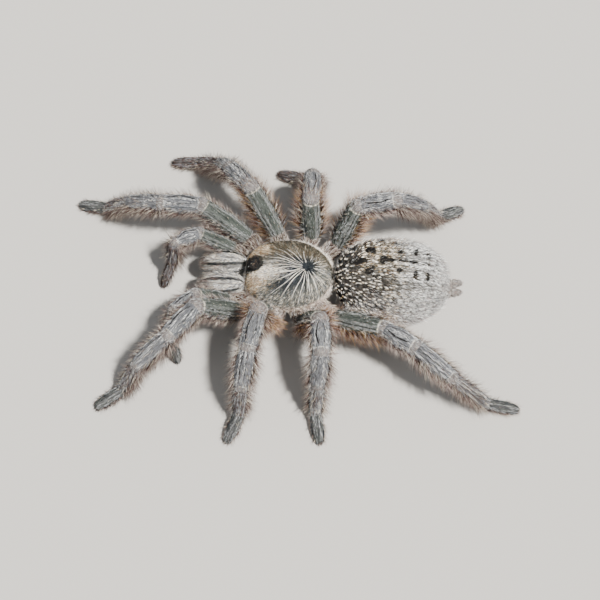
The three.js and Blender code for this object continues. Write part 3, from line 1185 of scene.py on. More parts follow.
    def fringe(self, ground: Ground) -> None:
        """Grows the pale fringe round the shield's edge."""
        pelt = Pelt("carapace_fringe", self.rng)
        roots = ground.scatter(self.fringe_density)
        above = roots.spots[:, 2] - self.margin
        back = (roots.spots[:, 0] - self.box.low.x) / self.box.size.x
        chosen = (above > -0.5) & (above < 0.8 + 0.5 * back)
        roots, back = roots.where(chosen), back[chosen]
        count = len(roots)
        outwards = unit((roots.spots - np.array(self.box.centre)) * (1, 1, 0))
        flow = outwards + roots.normals + (0, 0, 0.3)
        near = smooth(self.box.centre.y - roots.spots[:, 1], 2.0, 6.0)
        pale = pick(self.rng, count, self.PALE_FRINGE)
        rosy = pick(self.rng, count, self.ROSY_FRINGE)
        tones = np.where(near * 0.8 > self.rng.random(count), rosy, pale)
        cut = Cut((0.6, 1.9), 0.038, (12, 60), 28, 0.12)
        pelt.grow(roots, flow, cut, tones, 0.6 + 0.5 * back - 0.15 * near, 0.62)
        pelt.make("carapace", self.hair)


def specimen_rng(name: str) -> np.random.Generator:
    """Random draws that are the same each time, and differ from piece to piece."""
    return np.random.default_rng([ord(letter) for letter in name])


@dataclass
class Abdomen:
    """The egg-shaped rear of the body: black and cream in front, silver behind."""

    hair: bpy.types.Material
    rng: np.random.Generator
    widest: float = 0.51
    bluntness: float = 0.79
    tuft_gap: float = 0.72  # least distance between two tufts
    tuft_hairs: int = 18
    pattern_aside: float = 0.9  # how far to the right the pattern's own midline lies
    unevenness: float = 0.16
    coat_density: float = 23
    mark_density: float = 70
    # Dark spots on top, on both sides, from the middle.
    marks: tuple[Patch, ...] = (
        (-5.6, 3.0, 1.1, 0.85), (-4.9, 2.3, 0.5, 0.8), (1.4, 2.6, 0.6, 0.55), (5.2, 3.1, 0.36, 1.1),
        (8.2, 2.9, 0.32, 1.15),
    )
    # Dark dashes on the midline: along, half length, half width.
    midline: tuple[tuple[float, float, float], ...] = (
        (-8.4, 2.0, 0.95), (-2.4, 0.8, 1.2), (-0.6, 1.2, 0.5), (2.1, 0.9, 0.36), (4.4, 1.2, 0.45),
        (8.0, 1.0, 0.26),
    )

    LIGHT = ((Tone.SILVER, 3), (Tone.WHITE, 8), (Tone.LAVENDER, 1.2), (Tone.SLATE, 1.2))
    FAWN = ((Tone.TAN, 2), (Tone.OLIVE, 2), (Tone.GOLD, 2.5), (Tone.CREAM, 4.5))
    DARK = ((Tone.BLACK, 7), (Tone.BROWN, 1), (Tone.SLATE, 2))
    UNDER = ((Tone.BROWN, 3), (Tone.ROSE, 3), (Tone.SILVER, 2))
    TUFTS = ((Tone.CREAM, 5), (Tone.WHITE, 2.5), (Tone.GOLD, 0.8))
    REAR_TUFTS = ((Tone.WHITE, 5), (Tone.SILVER, 2))
    SETAE = ((Tone.SILVER, 4), (Tone.PINK, 2), (Tone.ROSE, 0.8), (Tone.WHITE, 3))

    def __post_init__(self) -> None:
        """Reads the abdomen's box."""
        box = Box.of("abdomen")
        self.low, self.size, self.centre = box.low, box.size, box.centre

    def build(self) -> None:
        """Makes the skin and its hair."""
        power = math.log(self.widest) / math.log(0.5)
        length, radius = self.size.x, self.size.y / 2
        outline = [
            (length * ((1 - math.cos(a)) / 2) ** power, radius * max(0.0, math.sin(a)) ** self.bluntness)
            for a in np.linspace(0, math.pi, 49)[:-1]
        ]
        bm = turned([*outline, (length, 0.0)], 56)
        bmesh.ops.scale(bm, verts=bm.verts, vec=(1, 1, self.size.z / self.size.y))
        lay_map(bm)
        reshape(bm, self.settled)
        bmesh.ops.translate(bm, verts=bm.verts, vec=(self.low.x, self.centre.y, self.centre.z))
        skin = piece("abdomen_skin", bm, ABDOMEN_HIDE.material(), "abdomen", "abdomen")
        ground = Ground(skin, self.rng)
        self.coat(ground)
        self.tufts(ground)
        self.long_hair(ground)

    def settled(self, p: Vector) -> Vector:
        """The egg with a faint unevenness, flatter on top and underneath."""
        wave = self.unevenness * math.sin(p.x * 0.9 + p.y * 0.35) * math.sin(p.y * 0.7 + 1.0)
        return Vector((p.x, p.y, p.z + wave * (p.z / self.size.z)))

    def places(self, roots: Roots) -> tuple[np.ndarray, np.ndarray]:
        """How far each root is behind the middle, and how far to the right of it."""
        return roots.spots[:, 0] - self.centre.x, roots.spots[:, 1] - self.centre.y

    def darkness(self, roots: Roots) -> np.ndarray:
        """How dark the ground between the pale tufts is at each root, from 0 to 1, with painted shade
        added on the left towards the front.
        """
        along_it, aside = self.places(roots)
        front = 1 - smooth(along_it, -12.0, -4.0)
        # Dark on the left towards the front: partly the dark pattern, partly painted shade.
        left = smooth(-aside, 0.0, 3.6) * (1 - smooth(along_it, -5.0, 8.0)) * 0.85
        right = smooth(aside, 3.5, 8.0) * (1 - smooth(along_it, -6.0, 3.0)) * 0.8
        speckled = 0.24 * (1 - smooth(along_it, -2.0, 6.0)) + 0.06
        return np.maximum.reduce([front, left, right, speckled])

    def on_mark(self, roots: Roots, ahead: float = 0.0) -> np.ndarray:
        """True where a root, or the point so far behind it, lies on one of the dark spots."""
        along_it, aside = self.places(roots)
        along_it, aside = along_it + ahead, aside - self.pattern_aside
        inside = np.zeros(len(roots), bool)
        for x, y, half_x, half_y in self.marks:
            inside |= np.hypot((along_it - x) / half_x, (abs(aside) - y) / half_y) < 1
        for x, half_x, half_y in self.midline:
            inside |= np.hypot((along_it - x) / half_x, aside / half_y) < 1
        return inside & (roots.up > 0.25)

    def flow(self, roots: Roots) -> np.ndarray:
        """Hair is combed back, and down over the sides."""
        flow = np.tile((1.0, 0.0, -0.12), (len(roots), 1))
        flow[:, 1] = (roots.spots[:, 1] - self.centre.y) * 0.03
        return flow

    def coat(self, ground: Ground) -> None:
        """Grows the short ground coat: black in front, golden in the middle and silver behind."""
        roots = ground.scatter(self.coat_density)
        roots = roots.where((roots.up > -0.2) | (self.rng.random(len(roots)) < 0.45))
        roots = roots.where(~self.on_mark(roots) & ~self.on_mark(roots, 0.5))
        count, draw = len(roots), self.rng.random
        along_it, aside = self.places(roots)
        light = pick(self.rng, count, self.LIGHT)
        fawn = pick(self.rng, count, self.FAWN)
        rear = smooth(along_it + abs(aside) * 0.25, -1.0, 5.5)
        tones = np.where(rear > draw(count), light, fawn)
        black = pick(self.rng, count, self.DARK)
        tones = np.where(self.darkness(roots) * 1.3 > draw(count), black, tones)
        under = smooth(-roots.up, -0.2, 0.4) > draw(count)
        tones = np.where(under, pick(self.rng, count, self.UNDER), tones)
        shine = streaks(self.rng, roots.around, roots.length, 170) + 0.1 * rear
        pelt = Pelt("abdomen_coat", self.rng)
        pelt.grow(roots, self.flow(roots), Cut((0.5, 1.0), 0.05, (8, 24), 10), tones, 1.0, shine)
        spots = ground.scatter(self.mark_density)
        spots = spots.where(self.on_mark(spots))
        black = np.full(len(spots), Tone.BLACK.place)
        pelt.grow(spots, self.flow(spots), Cut((0.4, 0.65), 0.06, (20, 40), 14), black, 1.0, 0.2)
        pelt.make("abdomen", self.hair)

    def tufts(self, ground: Ground) -> None:
        """Grows the pale tufts that speckle the dark ground."""
        centres = spaced(ground.scatter(7), self.tuft_gap)
        wanted = (centres.up > -0.25) & ~self.on_mark(centres) & ~self.on_mark(centres, 0.7)
        dark = self.darkness(centres)
        _, aside = self.places(centres)
        amount = 0.46 + 0.34 * dark - 0.36 * dark * smooth(aside, 0.5, 5.0)
        centres = centres.where(wanted & (self.rng.random(len(centres)) < amount))
        along_it, _ = self.places(centres)
        hairs = self.rng.integers(self.tuft_hairs // 3, self.tuft_hairs, len(centres))
        repeat = np.repeat(np.arange(len(centres)), hairs)
        tight = 0.5 + 0.5 * smooth(along_it, -6.0, 4.0)[repeat, None]
        spread = self.rng.normal(0, 1, (len(repeat), 3)) * (0.30, 0.15, 0.08) * tight
        roots = centres.where(repeat)
        roots = replace(roots, spots=roots.spots + spread)
        count = len(roots)
        pale = pick(self.rng, count, self.TUFTS)
        silvery = pick(self.rng, count, self.REAR_TUFTS)
        tones = np.where(smooth(along_it, -2.0, 6.0)[repeat] > self.rng.random(count), silvery, pale)
        pelt = Pelt("abdomen_tufts", self.rng)
        pelt.grow(roots, self.flow(roots), Cut((0.45, 0.8), 0.065, (16, 34), 8), tones, 1.0, 0.75)
        pelt.make("abdomen", self.hair)

    def long_hair(self, ground: Ground) -> None:
        """Grows the thin standing hair of the sides, the rear and the underside."""
        roots = ground.scatter(7)
        along_it, aside = self.places(roots)
        amount = smooth(abs(aside), 5.0, 9.5) + smooth(along_it, 6.0, 12.0) + 0.1
        roots = roots.where(amount > self.rng.random(len(roots)))
        tones = pick(self.rng, len(roots), self.SETAE)
        pelt = Pelt("abdomen_setae", self.rng)
        pelt.grow(roots, self.flow(roots), Cut((1.1, 2.6), 0.032, (18, 50), 18), tones, 1.0, 0.6)
        pelt.make("abdomen", self.hair)


@dataclass
class Jaw:
    """A chelicera with its fang."""

    side: Side
    hair: bpy.types.Material
    horn: bpy.types.Material
    rng: np.random.Generator
    droop: float = 8.0  # degrees
    fullness: float = 0.82  # 1 for a ball, and less for a squarer shape
    fang_bend: float = 96.0  # degrees
    coat_density: float = 38

    PALE = ((Tone.WHITE, 3), (Tone.CREAM, 3), (Tone.SILVER, 2.5), (Tone.LAVENDER, 1.5))
    DARK = ((Tone.SLATE, 4), (Tone.BLACK, 2), (Tone.SAGE, 1.5))
    TIP = ((Tone.PINK, 4), (Tone.ROSE, 3), (Tone.CREAM, 1.5), (Tone.BROWN, 1))
    SETAE = ((Tone.PINK, 4), (Tone.SILVER, 2), (Tone.ROSE, 3), (Tone.CREAM, 2))

    def build(self) -> None:
        """Makes the base, the fang and the brushed hair."""
        name = f"{self.side.word}_chelicera"
        box = Box.of(name)
        size = box.size
        bm = ball((2, 2, 2), 40)

        def blunt(p: Vector) -> Vector:
            """A fuller, blunter shape than a ball, with the rear cut short by the shield."""
            x, y, z = (math.copysign(abs(c) ** self.fullness, c) for c in p)
            taper = 1 - 0.1 * max(0.0, -x)
            return Vector((x * size.x / 2, y * size.y / 2 * taper, z * size.z * 0.43 * taper))

        reshape(bm, blunt)
        bmesh.ops.rotate(bm, verts=bm.verts, matrix=Matrix.Rotation(math.pi, 3, "Z"))
        lay_map(bm)
        bmesh.ops.rotate(bm, verts=bm.verts, matrix=Matrix.Rotation(math.radians(-self.droop), 3, "Y"))
        bmesh.ops.translate(bm, verts=bm.verts, vec=box.centre)
        bmesh.ops.recalc_face_normals(bm, faces=bm.faces)
        hide = HideFinish(f"{name}_hide", (0.16, 0.155, 0.15), (0.08, 0.075, 0.075))
        skin = piece(f"{name}_base", bm, hide.material(), "chelicera", name)
        self.coat(Ground(skin, self.rng), box.low.x, size.x)
        self.fang()

    def coat(self, ground: Ground, front: float, length: float) -> None:
        """Grows hair brushed forwards, in dark and pale stripes, longest at the front."""
        roots = ground.scatter(self.coat_density)
        roots = roots.where((roots.up > -0.75) | (self.rng.random(len(roots)) < 0.4))
        count, draw = len(roots), self.rng.random
        forward = 1 - (roots.spots[:, 0] - front) / length
        stripe = np.sin((roots.around - TOP) * TURN * 6.3 + 1.1 * self.side.value + forward * 0.8)
        stripe += 0.5 * np.sin(roots.around * TURN * 11 + 1.0 + forward)
        pale = pick(self.rng, count, self.PALE)
        dark = pick(self.rng, count, self.DARK)
        tones = np.where(smooth(stripe, -0.9, -0.35) > draw(count), pale, dark)
        tip = pick(self.rng, count, self.TIP)
        tones = np.where(smooth(forward, 0.72, 1.0) * 0.8 > draw(count), tip, tones)
        flow = np.array((-1.0, 0.0, -0.22)) + roots.normals * 0.2 * forward[:, None]
        pelt = Pelt(f"{self.side.word}_chelicera_coat", self.rng)
        shine = streaks(self.rng, roots.around, forward, 60) + 0.08
        scale = 0.8 + 0.9 * smooth(forward, 0.45, 1.0)
        pelt.grow(roots, flow, Cut((0.8, 1.6), 0.045, (8, 30), 8, 0.1), tones, scale, shine)
        roots = ground.scatter(3)
        roots = roots.where(1 - (roots.spots[:, 0] - front) / length > 0.45)
        tones = pick(self.rng, len(roots), self.SETAE)
        cut = Cut((1.8, 3.4), 0.036, (14, 40), 14, 0.3, 2)
        pelt.grow(roots, np.array((-1.0, 0.0, -0.45)), cut, tones)
        pelt.make("chelicera", self.hair)

    def fang(self) -> None:
        """Makes the hooked fang, folded back under its base."""
        name = f"{self.side.word}_fang"
        box = Box.of(name)
        radius = box.size.y / 2
        bm = turned(profile_of(1.0, (0.9, 1.0, 0.8, 0.62, 0.42, 0.2, 0.03), 0.06, 24), 20)
        bend = math.radians(self.fang_bend)
        fall = box.size.z * 0.98 / math.sin(min(bend, math.pi / 2)) - radius

        def hooked(p: Vector) -> Vector:
            """The straight spike bent down and back."""
            angle = p.x * bend
            inner = box.size.x - radius + p.z * radius * 0.9
            drop = math.sin(angle) * (fall + p.z * radius * 0.2)
            return Vector((inner - math.cos(angle) * inner, p.y * radius, -drop))

        reshape(bm, hooked)
        bmesh.ops.recalc_face_normals(bm, faces=bm.faces)
        bmesh.ops.translate(bm, verts=bm.verts, vec=(box.low.x + radius, box.centre.y, box.high.z))
        piece(f"{name}_hook", bm, self.horn, "fang", name)


@dataclass
class Underside:
    """The sternum, the labium, the stalk to the abdomen, and the coxae that carry the limbs."""

    hair: bpy.types.Material
    rng: np.random.Generator
    coxa_share: float = 0.3  # where a coxa starts, on the way from the body's middle to the hip
    coxa_drop: float = 1.9
    coxa_density: float = 15
    plate_density: float = 6
    plate_half: Pair = (5.2, 4.25)  # half length and half width of the sternum
    plate_place: Colour = (-0.4, 0.0, 4.2)  # its top, from the body's middle and the node's foot
    plate_depth: float = 3.6
    plate_bevel: float = 0.7
    lip_size: Colour = (2.6, 2.8, 2.2)
    lip_place: Colour = (-6.2, 0.0, 5.9)  # from the body's middle, over the ground

    BROWNS = ((Tone.BROWN, 5), (Tone.BLACK, 2), (Tone.ROSE, 2))
    PALES = ((Tone.CREAM, 3), (Tone.PINK, 4), (Tone.ROSE, 2.5), (Tone.WHITE, 1.5), (Tone.BROWN, 1))

    def build(self, hips: dict[str, Vector]) -> None:
        """Makes the pieces.

        Args:
            hips: where each limb's femur starts, by the limb's name.
        """
        material = UNDERSIDE_HIDE.material()
        middle = Box.of("carapace").centre
        plate = self.plate(middle, Box.of("sternum_and_coxae").low.z)
        made = piece("sternum_plate", plate, material, "underside", "sternum_and_coxae")
        pelt = Pelt("underside_coat", self.rng)
        self.cover(pelt, made, self.plate_density, np.array((1.0, 0.0, -0.2)))
        self.stalk(material)
        for limb, hip in hips.items():
            offset = hip - middle
            root = middle + Vector((offset.x * self.coxa_share, offset.y * self.coxa_share, 0))
            root.z = hip.z - self.coxa_drop
            self.coxa(limb, root, hip, material, pelt)
        pelt.make("underside", self.hair)

    def plate(self, middle: Vector, low: float) -> bmesh.types.BMesh:
        """The flat shield and the lip in front of it.

        Args:
            middle: the middle of the carapace.
            low: how high the node's lowest corner is.
        Returns:
            Both as one mesh.
        """
        start = Vector((middle.x, middle.y, low)) + Vector(self.plate_place)
        half_x, half_y = self.plate_half
        bm = bmesh.new()
        disc = bmesh.ops.create_circle(bm, cap_ends=True, segments=48, radius=1)
        for vertex in disc["verts"]:
            x, y = vertex.co.x, vertex.co.y
            pointed = 1 - 0.3 * max(0.0, x)
            vertex.co = start + Vector((x * half_x, y * half_y * pointed, 0))
        walls = bmesh.ops.extrude_face_region(bm, geom=list(bm.faces))
        moved = [v for v in walls["geom"] if isinstance(v, bmesh.types.BMVert)]
        bmesh.ops.translate(bm, verts=moved, vec=(0, 0, -self.plate_depth))
        rim = [e for e in bm.edges if all(v in moved for v in e.verts)]
        rounding = {"offset": self.plate_bevel, "offset_type": "OFFSET", "segments": 4, "profile": 0.5}
        bmesh.ops.bevel(bm, geom=rim, affect="EDGES", material=-1, **rounding)
        lip = bmesh.ops.create_uvsphere(bm, u_segments=20, v_segments=12, radius=0.5)
        bmesh.ops.scale(bm, verts=lip["verts"], vec=self.lip_size)
        place = Vector((middle.x, middle.y, 0)) + Vector(self.lip_place)
        bmesh.ops.translate(bm, verts=lip["verts"], vec=place)
        bmesh.ops.recalc_face_normals(bm, faces=bm.faces)
        return bm

    def stalk(self, material: bpy.types.Material) -> None:
        """Makes the stalk between the carapace and the abdomen."""
        box = Box.of("pedicel")
        radii = [box.size.z * share for share in (0.5, 0.42, 0.5)]
        bm = turned(profile_of(box.size.x, radii), 20)
        bmesh.ops.translate(bm, verts=bm.verts, vec=(box.low.x, box.centre.y, box.centre.z))
        piece("pedicel_stalk", bm, material, "underside", "pedicel")

    def coxa(
        self, limb: str, root: Vector, hip: Vector, material: bpy.types.Material, pelt: Pelt
    ) -> None:
        """Makes one coxa with its trochanter.

        Args:
            limb: the limb's name.
            root: where the coxa starts, under the body.
            hip: where the femur starts.
            material: the finish.
            pelt: takes its hair.
        """
        radius = 1.75 if "palp" in limb else 2.3
        radii = [radius * share for share in (0.8, 0.98, 1.0, 0.94, 0.8, 0.9, 0.86)]
        bm = turned(profile_of((hip - root).length, radii, 0.07, 24))
        lay_map(bm)
        bmesh.ops.transform(bm, matrix=along(root, hip), verts=bm.verts)
        made = piece(f"{limb}_coxa", bm, material, "underside", "sternum_and_coxae")
        self.cover(pelt, made, self.coxa_density, np.array(hip - root))

    def cover(self, pelt: Pelt, skin: bpy.types.Object, density: float, flow: np.ndarray) -> None:
        """Covers a piece: brown velvet underneath, long pale hair on top."""
        roots = Ground(skin, self.rng).scatter(density)
        count = len(roots)
        up = roots.up > -0.1
        brown = pick(self.rng, count, self.BROWNS)
        pale = pick(self.rng, count, self.PALES)
        scale = np.where(up, 1.7, 1.0)
        pelt.grow(roots, flow, Cut((0.7, 1.3), 0.04, (12, 40), 18), np.where(up, pale, brown), scale)


@dataclass
class Spinnerets:
    """The two long spinning fingers at the end of the abdomen."""

    hair: bpy.types.Material
    rng: np.random.Generator

    COAT = ((Tone.SILVER, 4), (Tone.ROSE, 1), (Tone.PINK, 2), (Tone.CREAM, 1))

    def build(self) -> None:
        """Makes both, each of three drawn-in stretches."""
        material = SPINNERET_HIDE.material()
        pelt = Pelt("spinneret_coat", self.rng)
        start = Box.of("abdomen").centre
        for side in Side:
            node = f"{side.word}_spinneret"
            axis = Axis.of(node, start)
            shares = (0.9, 1.0, 0.98, 0.74, 0.84, 0.78, 0.56, 0.62, 0.5, 0.3)
            radii = [axis.radius(0, 1) * share for share in shares]
            bm = turned(profile_of(axis.length, radii, 0.08, 30), 20)
            lay_map(bm)
            bmesh.ops.transform(bm, matrix=axis.placing, verts=bm.verts)
            skin = piece(f"{side.word}_spinning_finger", bm, material, "abdomen", node)
            roots = Ground(skin, self.rng).scatter(22)
            tones = pick(self.rng, len(roots), self.COAT)
            pelt.grow(roots, axis.way, Cut((0.5, 1.1), 0.035, (12, 30), 12), tones)
        pelt.make("abdomen", self.hair)


# ------------------------------------------------------------------ limbs

LEG = ("femur", "patella", "tibia", "metatarsus", "tarsus")
PALP = ("femur", "patella", "tibia", "tarsus")


# The coats on top of the articles come in order, from dark to pale.
OLIVE_GREY = ((Tone.SLATE, 1.4), (Tone.MOSS, 2.4), (Tone.SAGE, 4.6), (Tone.SILVER, 2.6))
SILVERY = (
    (Tone.SLATE, 1.2), (Tone.SAGE, 0.8), (Tone.LAVENDER, 3.6), (Tone.SILVER, 6), (Tone.WHITE, 2.3),
)
ROSY_GREY = (
    (Tone.SLATE, 2), (Tone.ROSE, 2.4), (Tone.LAVENDER, 1.2), (Tone.SILVER, 4), (Tone.CREAM, 0.8),
)
SOOTY = ((Tone.SLATE, 4), (Tone.SAGE, 3), (Tone.SILVER, 3))
# Reddish brown tops, partly painted shade, for the outer articles that lie in shadow.
SHADED_RUSSET = ((Tone.BLACK, 1), (Tone.BROWN, 3), (Tone.CHESTNUT, 2.5), (Tone.ROSE, 3), (Tone.LAVENDER, 2))
# These come at random: flanks, undersides and long hair.
DUSKY = ((Tone.SILVER, 4), (Tone.ROSE, 1.4), (Tone.LAVENDER, 2), (Tone.SLATE, 2), (Tone.PINK, 1))
TAWNY = ((Tone.TAN, 4), (Tone.GOLD, 3), (Tone.RUST, 2.4), (Tone.CHESTNUT, 1.4))
BROWNS = ((Tone.BROWN, 5), (Tone.CHESTNUT, 4), (Tone.ROSE, 1.5))
PINKS = ((Tone.PINK, 5), (Tone.ROSE, 4.5), (Tone.CHESTNUT, 1.4), (Tone.BROWN, 2.4), (Tone.CREAM, 2.6))
FIERY = ((Tone.RUST, 3), (Tone.GOLD, 2.4), (Tone.CHESTNUT, 3.4), (Tone.PINK, 3), (Tone.BROWN, 2))
LIT = ((Tone.SILVER, 3), (Tone.PINK, 2), (Tone.CREAM, 2))
FOOT_FLANK = ((Tone.SLATE, 3), (Tone.SILVER, 3), (Tone.ROSE, 2))
FOOT_UNDER = ((Tone.SLATE, 4), (Tone.BLACK, 2))


@dataclass(frozen=True)
class Coat:
    """How one kind of article is coloured and haired."""

    hide: HideFinish
    top: Mix  # from dark to pale
    seta_length: Pair
    seta_density: float
    swell: tuple[float, ...]  # outline, as shares of the CAD radii
    short: float = 1.0  # how much longer or shorter the short hair is
    flank: Mix = DUSKY
    under: Mix = BROWNS


COATS = {
    "femur": Coat(
        HideFinish(
            "femur_hide", (0.085, 0.094, 0.084), (0.045, 0.052, 0.046),
            (
                Stripe(0.0, 0.03, Tone.MOSS, 0.0, 0.4),
                Stripe(0.072, 0.02, Tone.SILVER, 0.01, 0.18, 0.6),
                Stripe(0.110, 0.009, Tone.BLACK, 0.0, 0.6, 0.4),
                Stripe(0.136, 0.011, Tone.SILVER, 0.0, 0.3, 0.4),
            ), 0.5,
        ),
        OLIVE_GREY, (2.0, 4.2), 8, (0.9, 0.99, 1.0, 0.99, 0.95, 0.99, 0.95), 0.9,
    ),
    "patella": Coat(
        HideFinish(
            "patella_hide", (0.13, 0.133, 0.14), (0.065, 0.067, 0.072),
            (
                Stripe(0.018, 0.0085, Tone.BLACK, 0.05, 1.0, 0.45, 0.12, 0.84),
                Stripe(0.125, 0.006, Tone.SLATE, 0.0, 0.6),
            ), 0.5,
        ),
        SILVERY, (2.0, 4.0), 9, (0.93, 0.99, 1.0, 1.0, 0.98, 1.0, 0.95), 0.85,
    ),
    "tibia": Coat(
        HideFinish(
            "tibia_hide", (0.12, 0.12, 0.127), (0.06, 0.06, 0.064),
            (Stripe(0.03, 0.006, Tone.BLACK, 0.012, 0.8, 0.5, 0.06, 0.8),), 0.4,
        ),
        SILVERY, (2.6, 5.2), 13, (0.93, 0.99, 1.0, 0.98, 0.95, 0.98, 0.94), 0.95,
    ),
    "metatarsus": Coat(
        HideFinish("metatarsus_hide", (0.10, 0.095, 0.095), (0.05, 0.046, 0.046), (), 0.3),
        ROSY_GREY, (2.4, 4.8), 13, (0.94, 0.99, 1.0, 1.0, 0.98, 1.0, 0.95),
    ),
    "tarsus": Coat(
        HideFinish("tarsus_hide", (0.09, 0.09, 0.09), (0.045, 0.045, 0.046)),
        SOOTY, (1.0, 2.2), 7, (0.92, 0.99, 1.0, 1.0, 0.98, 0.9, 0.66), 1.0, FOOT_FLANK, FOOT_UNDER,
    ),
}

# The outer articles that are painted reddish brown on top: their brown hair with painted shade, where
# they lie in shadow.
SHADED_RUSSET_ARTICLES = {
    "right_leg_2": ("metatarsus", "tarsus"),
    "right_leg_3": ("metatarsus", "tarsus"),
    "right_palp": ("tibia", "tarsus"),
}


@dataclass
class Wardrobe:
    """Every material that limbs share."""

    hair: bpy.types.Material
    horn: bpy.types.Material
    hides: dict[str, bpy.types.Material] = field(init=False)
    joint: bpy.types.Material = field(init=False)

    def __post_init__(self) -> None:
        """Makes one hide for each kind of article, and the soft skin of the joints."""
        self.hides = {name: coat.hide.material() for name, coat in COATS.items()}
        self.joint = JOINT_SKIN.material()


@dataclass
class Limb:
    """One leg or palp: its articles, joints, claws and hair."""

    side: Side
    kind: str
    wardrobe: Wardrobe
    rng: np.random.Generator
    coat_density: float = 14
    joint_density: float = 11
    full_coat: float = 0.33  # how far round from the top the coat keeps all its hairs
    lit_setae: float = 0.18  # how far round the long hairs are pale

    CLAW = (0.14, 0.16, 0.13, 0.08, 0.02)  # radii
    CLAW_LENGTH = 1.1
    CLAW_GAP = 0.32  # from the foot's middle
    TAWNY_KINDS = ("leg_2", "leg_3", "leg_4")

    def __post_init__(self) -> None:
        """Finds each article's centre line, from the body outwards."""
        self.name = f"{self.side.word}_{self.kind}"
        self.articles = PALP if self.kind == "palp" else LEG
        start = Box.of("carapace").centre
        self.axes: dict[str, Axis] = {}
        for article in self.articles:
            self.axes[article] = Axis.of(f"{self.name}_{article}", start)
            start = self.axes[article].far

    @property
    def hip(self) -> Vector:
        """Where the limb starts."""
        return self.axes["femur"].near

    def build(self) -> None:
        """Makes every piece of the limb."""
        coat = Pelt(f"{self.name}_coat", self.rng)
        setae = Pelt(f"{self.name}_setae", self.rng)
        for article, axis in self.axes.items():
            skin = self.article(article, axis)
            ground = Ground(skin, self.rng)
            self.short_hair(coat, ground, article, axis)
            self.long_hair(setae, ground, article, axis)
        self.joints(coat)
        self.claws()
        coat.make("femur", self.wardrobe.hair)
        setae.make("tibia", self.wardrobe.hair)

    def article(self, article: str, axis: Axis) -> bpy.types.Object:
        """Makes the skin of one article.

        Args:
            article: its kind.
            axis: its centre line.
        Returns:
            The piece.
        """
        near, middle, far = axis.radius(0, 0.35), axis.radius(0.3, 0.7), axis.radius(0.65, 1)
        coat = COATS[article]
        base = np.interp(np.linspace(0, 1, len(coat.swell)), (0, 0.5, 1), (near, middle, far))
        bm = turned(profile_of(axis.length, base * coat.swell * 0.97, 0.045, 20))
        bmesh.ops.scale(bm, verts=bm.verts, vec=(1, 0.93, 1))
        lay_map(bm)
        bmesh.ops.transform(bm, matrix=axis.placing, verts=bm.verts)
        reshape(bm, lambda p: Vector((p.x, p.y, max(p.z, 0.0))))
        node = f"{self.name}_{article}"
        return piece(f"{node}_skin", bm, self.wardrobe.hides[article], article, node)

    def joints(self, coat: Pelt) -> None:
        """Makes the haired skin between two articles.

        Args:
            coat: takes the hair.
        """
        bm = bmesh.new()
        middles, ways = [], []
        for first, second in zip(self.articles, self.articles[1:]):
            inner, outer = self.axes[first], self.axes[second]
            radius = 0.95 * min(inner.radius(0.65, 1), outer.radius(0, 0.35))
            knob = bmesh.ops.create_uvsphere(bm, u_segments=20, v_segments=12, radius=radius)
            middles.append((inner.far + outer.near) / 2)
            ways.append(np.array(outer.far - inner.near))
            bmesh.ops.translate(bm, verts=knob["verts"], vec=middles[-1])
        skin = piece(f"{self.name}_joint_skin", bm, self.wardrobe.joint, "patella")
        roots = Ground(skin, self.rng).scatter(self.joint_density)
        gaps = np.linalg.norm(roots.spots[:, None] - np.array(middles)[None], axis=2)
        flow = np.array(ways)[gaps.argmin(axis=1)]
        count = len(roots)
        top, under = (pick(self.rng, count, mix) for mix in (SILVERY, BROWNS))
        tones = np.where(smooth(roots.up, -0.5, 0.3) > self.rng.random(count), top, under)
        coat.grow(roots, flow, Cut((0.6, 1.1), 0.046, (6, 22), 8), tones, 1.0, 0.4)

    def claws(self) -> None:
        """Makes the small hooked claws at the tip of the foot: two on a leg and one on a palp."""
        axis = self.axes["tarsus"]
        outline = profile_of(self.CLAW_LENGTH, self.CLAW, 0.1, 10)
        start = (axis.far - axis.near).normalized() * (axis.length - 0.35)
        whole = bmesh.new()
        for aside in (0.0,) if self.kind == "palp" else (-self.CLAW_GAP, self.CLAW_GAP):
            bm = turned(outline, 10)
            reshape(bm, lambda p: Vector((p.x, p.y + aside, p.z - 0.45 * p.x * p.x)))
            bmesh.ops.transform(bm, matrix=axis.placing, verts=bm.verts)
            bmesh.ops.translate(bm, verts=bm.verts, vec=start)
            reshape(bm, lambda p: Vector((p.x, p.y, max(p.z, 0.05))))
            scrap = bpy.data.meshes.new("claw")
            bm.to_mesh(scrap)
            bm.free()
            whole.from_mesh(scrap)
            bpy.data.meshes.remove(scrap)
        piece(f"{self.name}_claws", whole, self.wardrobe.horn, "fang")

    def short_hair(self, pelt: Pelt, ground: Ground, article: str, axis: Axis) -> None:
        """Grows the lying coat: striped on top, dusky or tawny on the flanks, brown underneath."""
        coat = COATS[article]
        roots = ground.scatter(self.coat_density)
        roots = roots.where((roots.away < self.full_coat) | (self.rng.random(len(roots)) < 0.5))
        away, count, draw = roots.away, len(roots), self.rng.random
        column = streaks(self.rng, roots.around, roots.length, 34)
        # Some outer articles take the reddish brown top, which is partly painted shade.
        top = SHADED_RUSSET if article in SHADED_RUSSET_ARTICLES.get(self.name, ()) else coat.top
        tones = ordered(0.55 * column + 0.45 * draw(count), top)
        flank = TAWNY if self.tawny(article) else coat.flank
        for mix, low, high in ((flank, 0.15, 0.25), (coat.under, 0.27, 0.37)):
            tones = np.where(smooth(away, low, high) > draw(count), pick(self.rng, count, mix), tones)
        for stripe in coat.hide.stripes:
            on_it = stripe.strength(roots.around, roots.length) > draw(count)
            tones = np.where(on_it, stripe.tone.place, tones)
        ring = coat.hide.ring_strength(roots.length) * (away < 0.3)
        tones = np.where(ring > draw(count), Tone.CREAM.place, tones)
        cut = Cut((0.8 * coat.short, 1.5 * coat.short), 0.046, (5, 16), 5)
        pelt.grow(roots, axis.way, cut, tones, 1.0, 0.45 + 0.32 * column)

    def tawny(self, article: str) -> bool:
        """True for the warm-coloured flanks of the three rear femora."""
        return article == "femur" and self.kind in self.TAWNY_KINDS

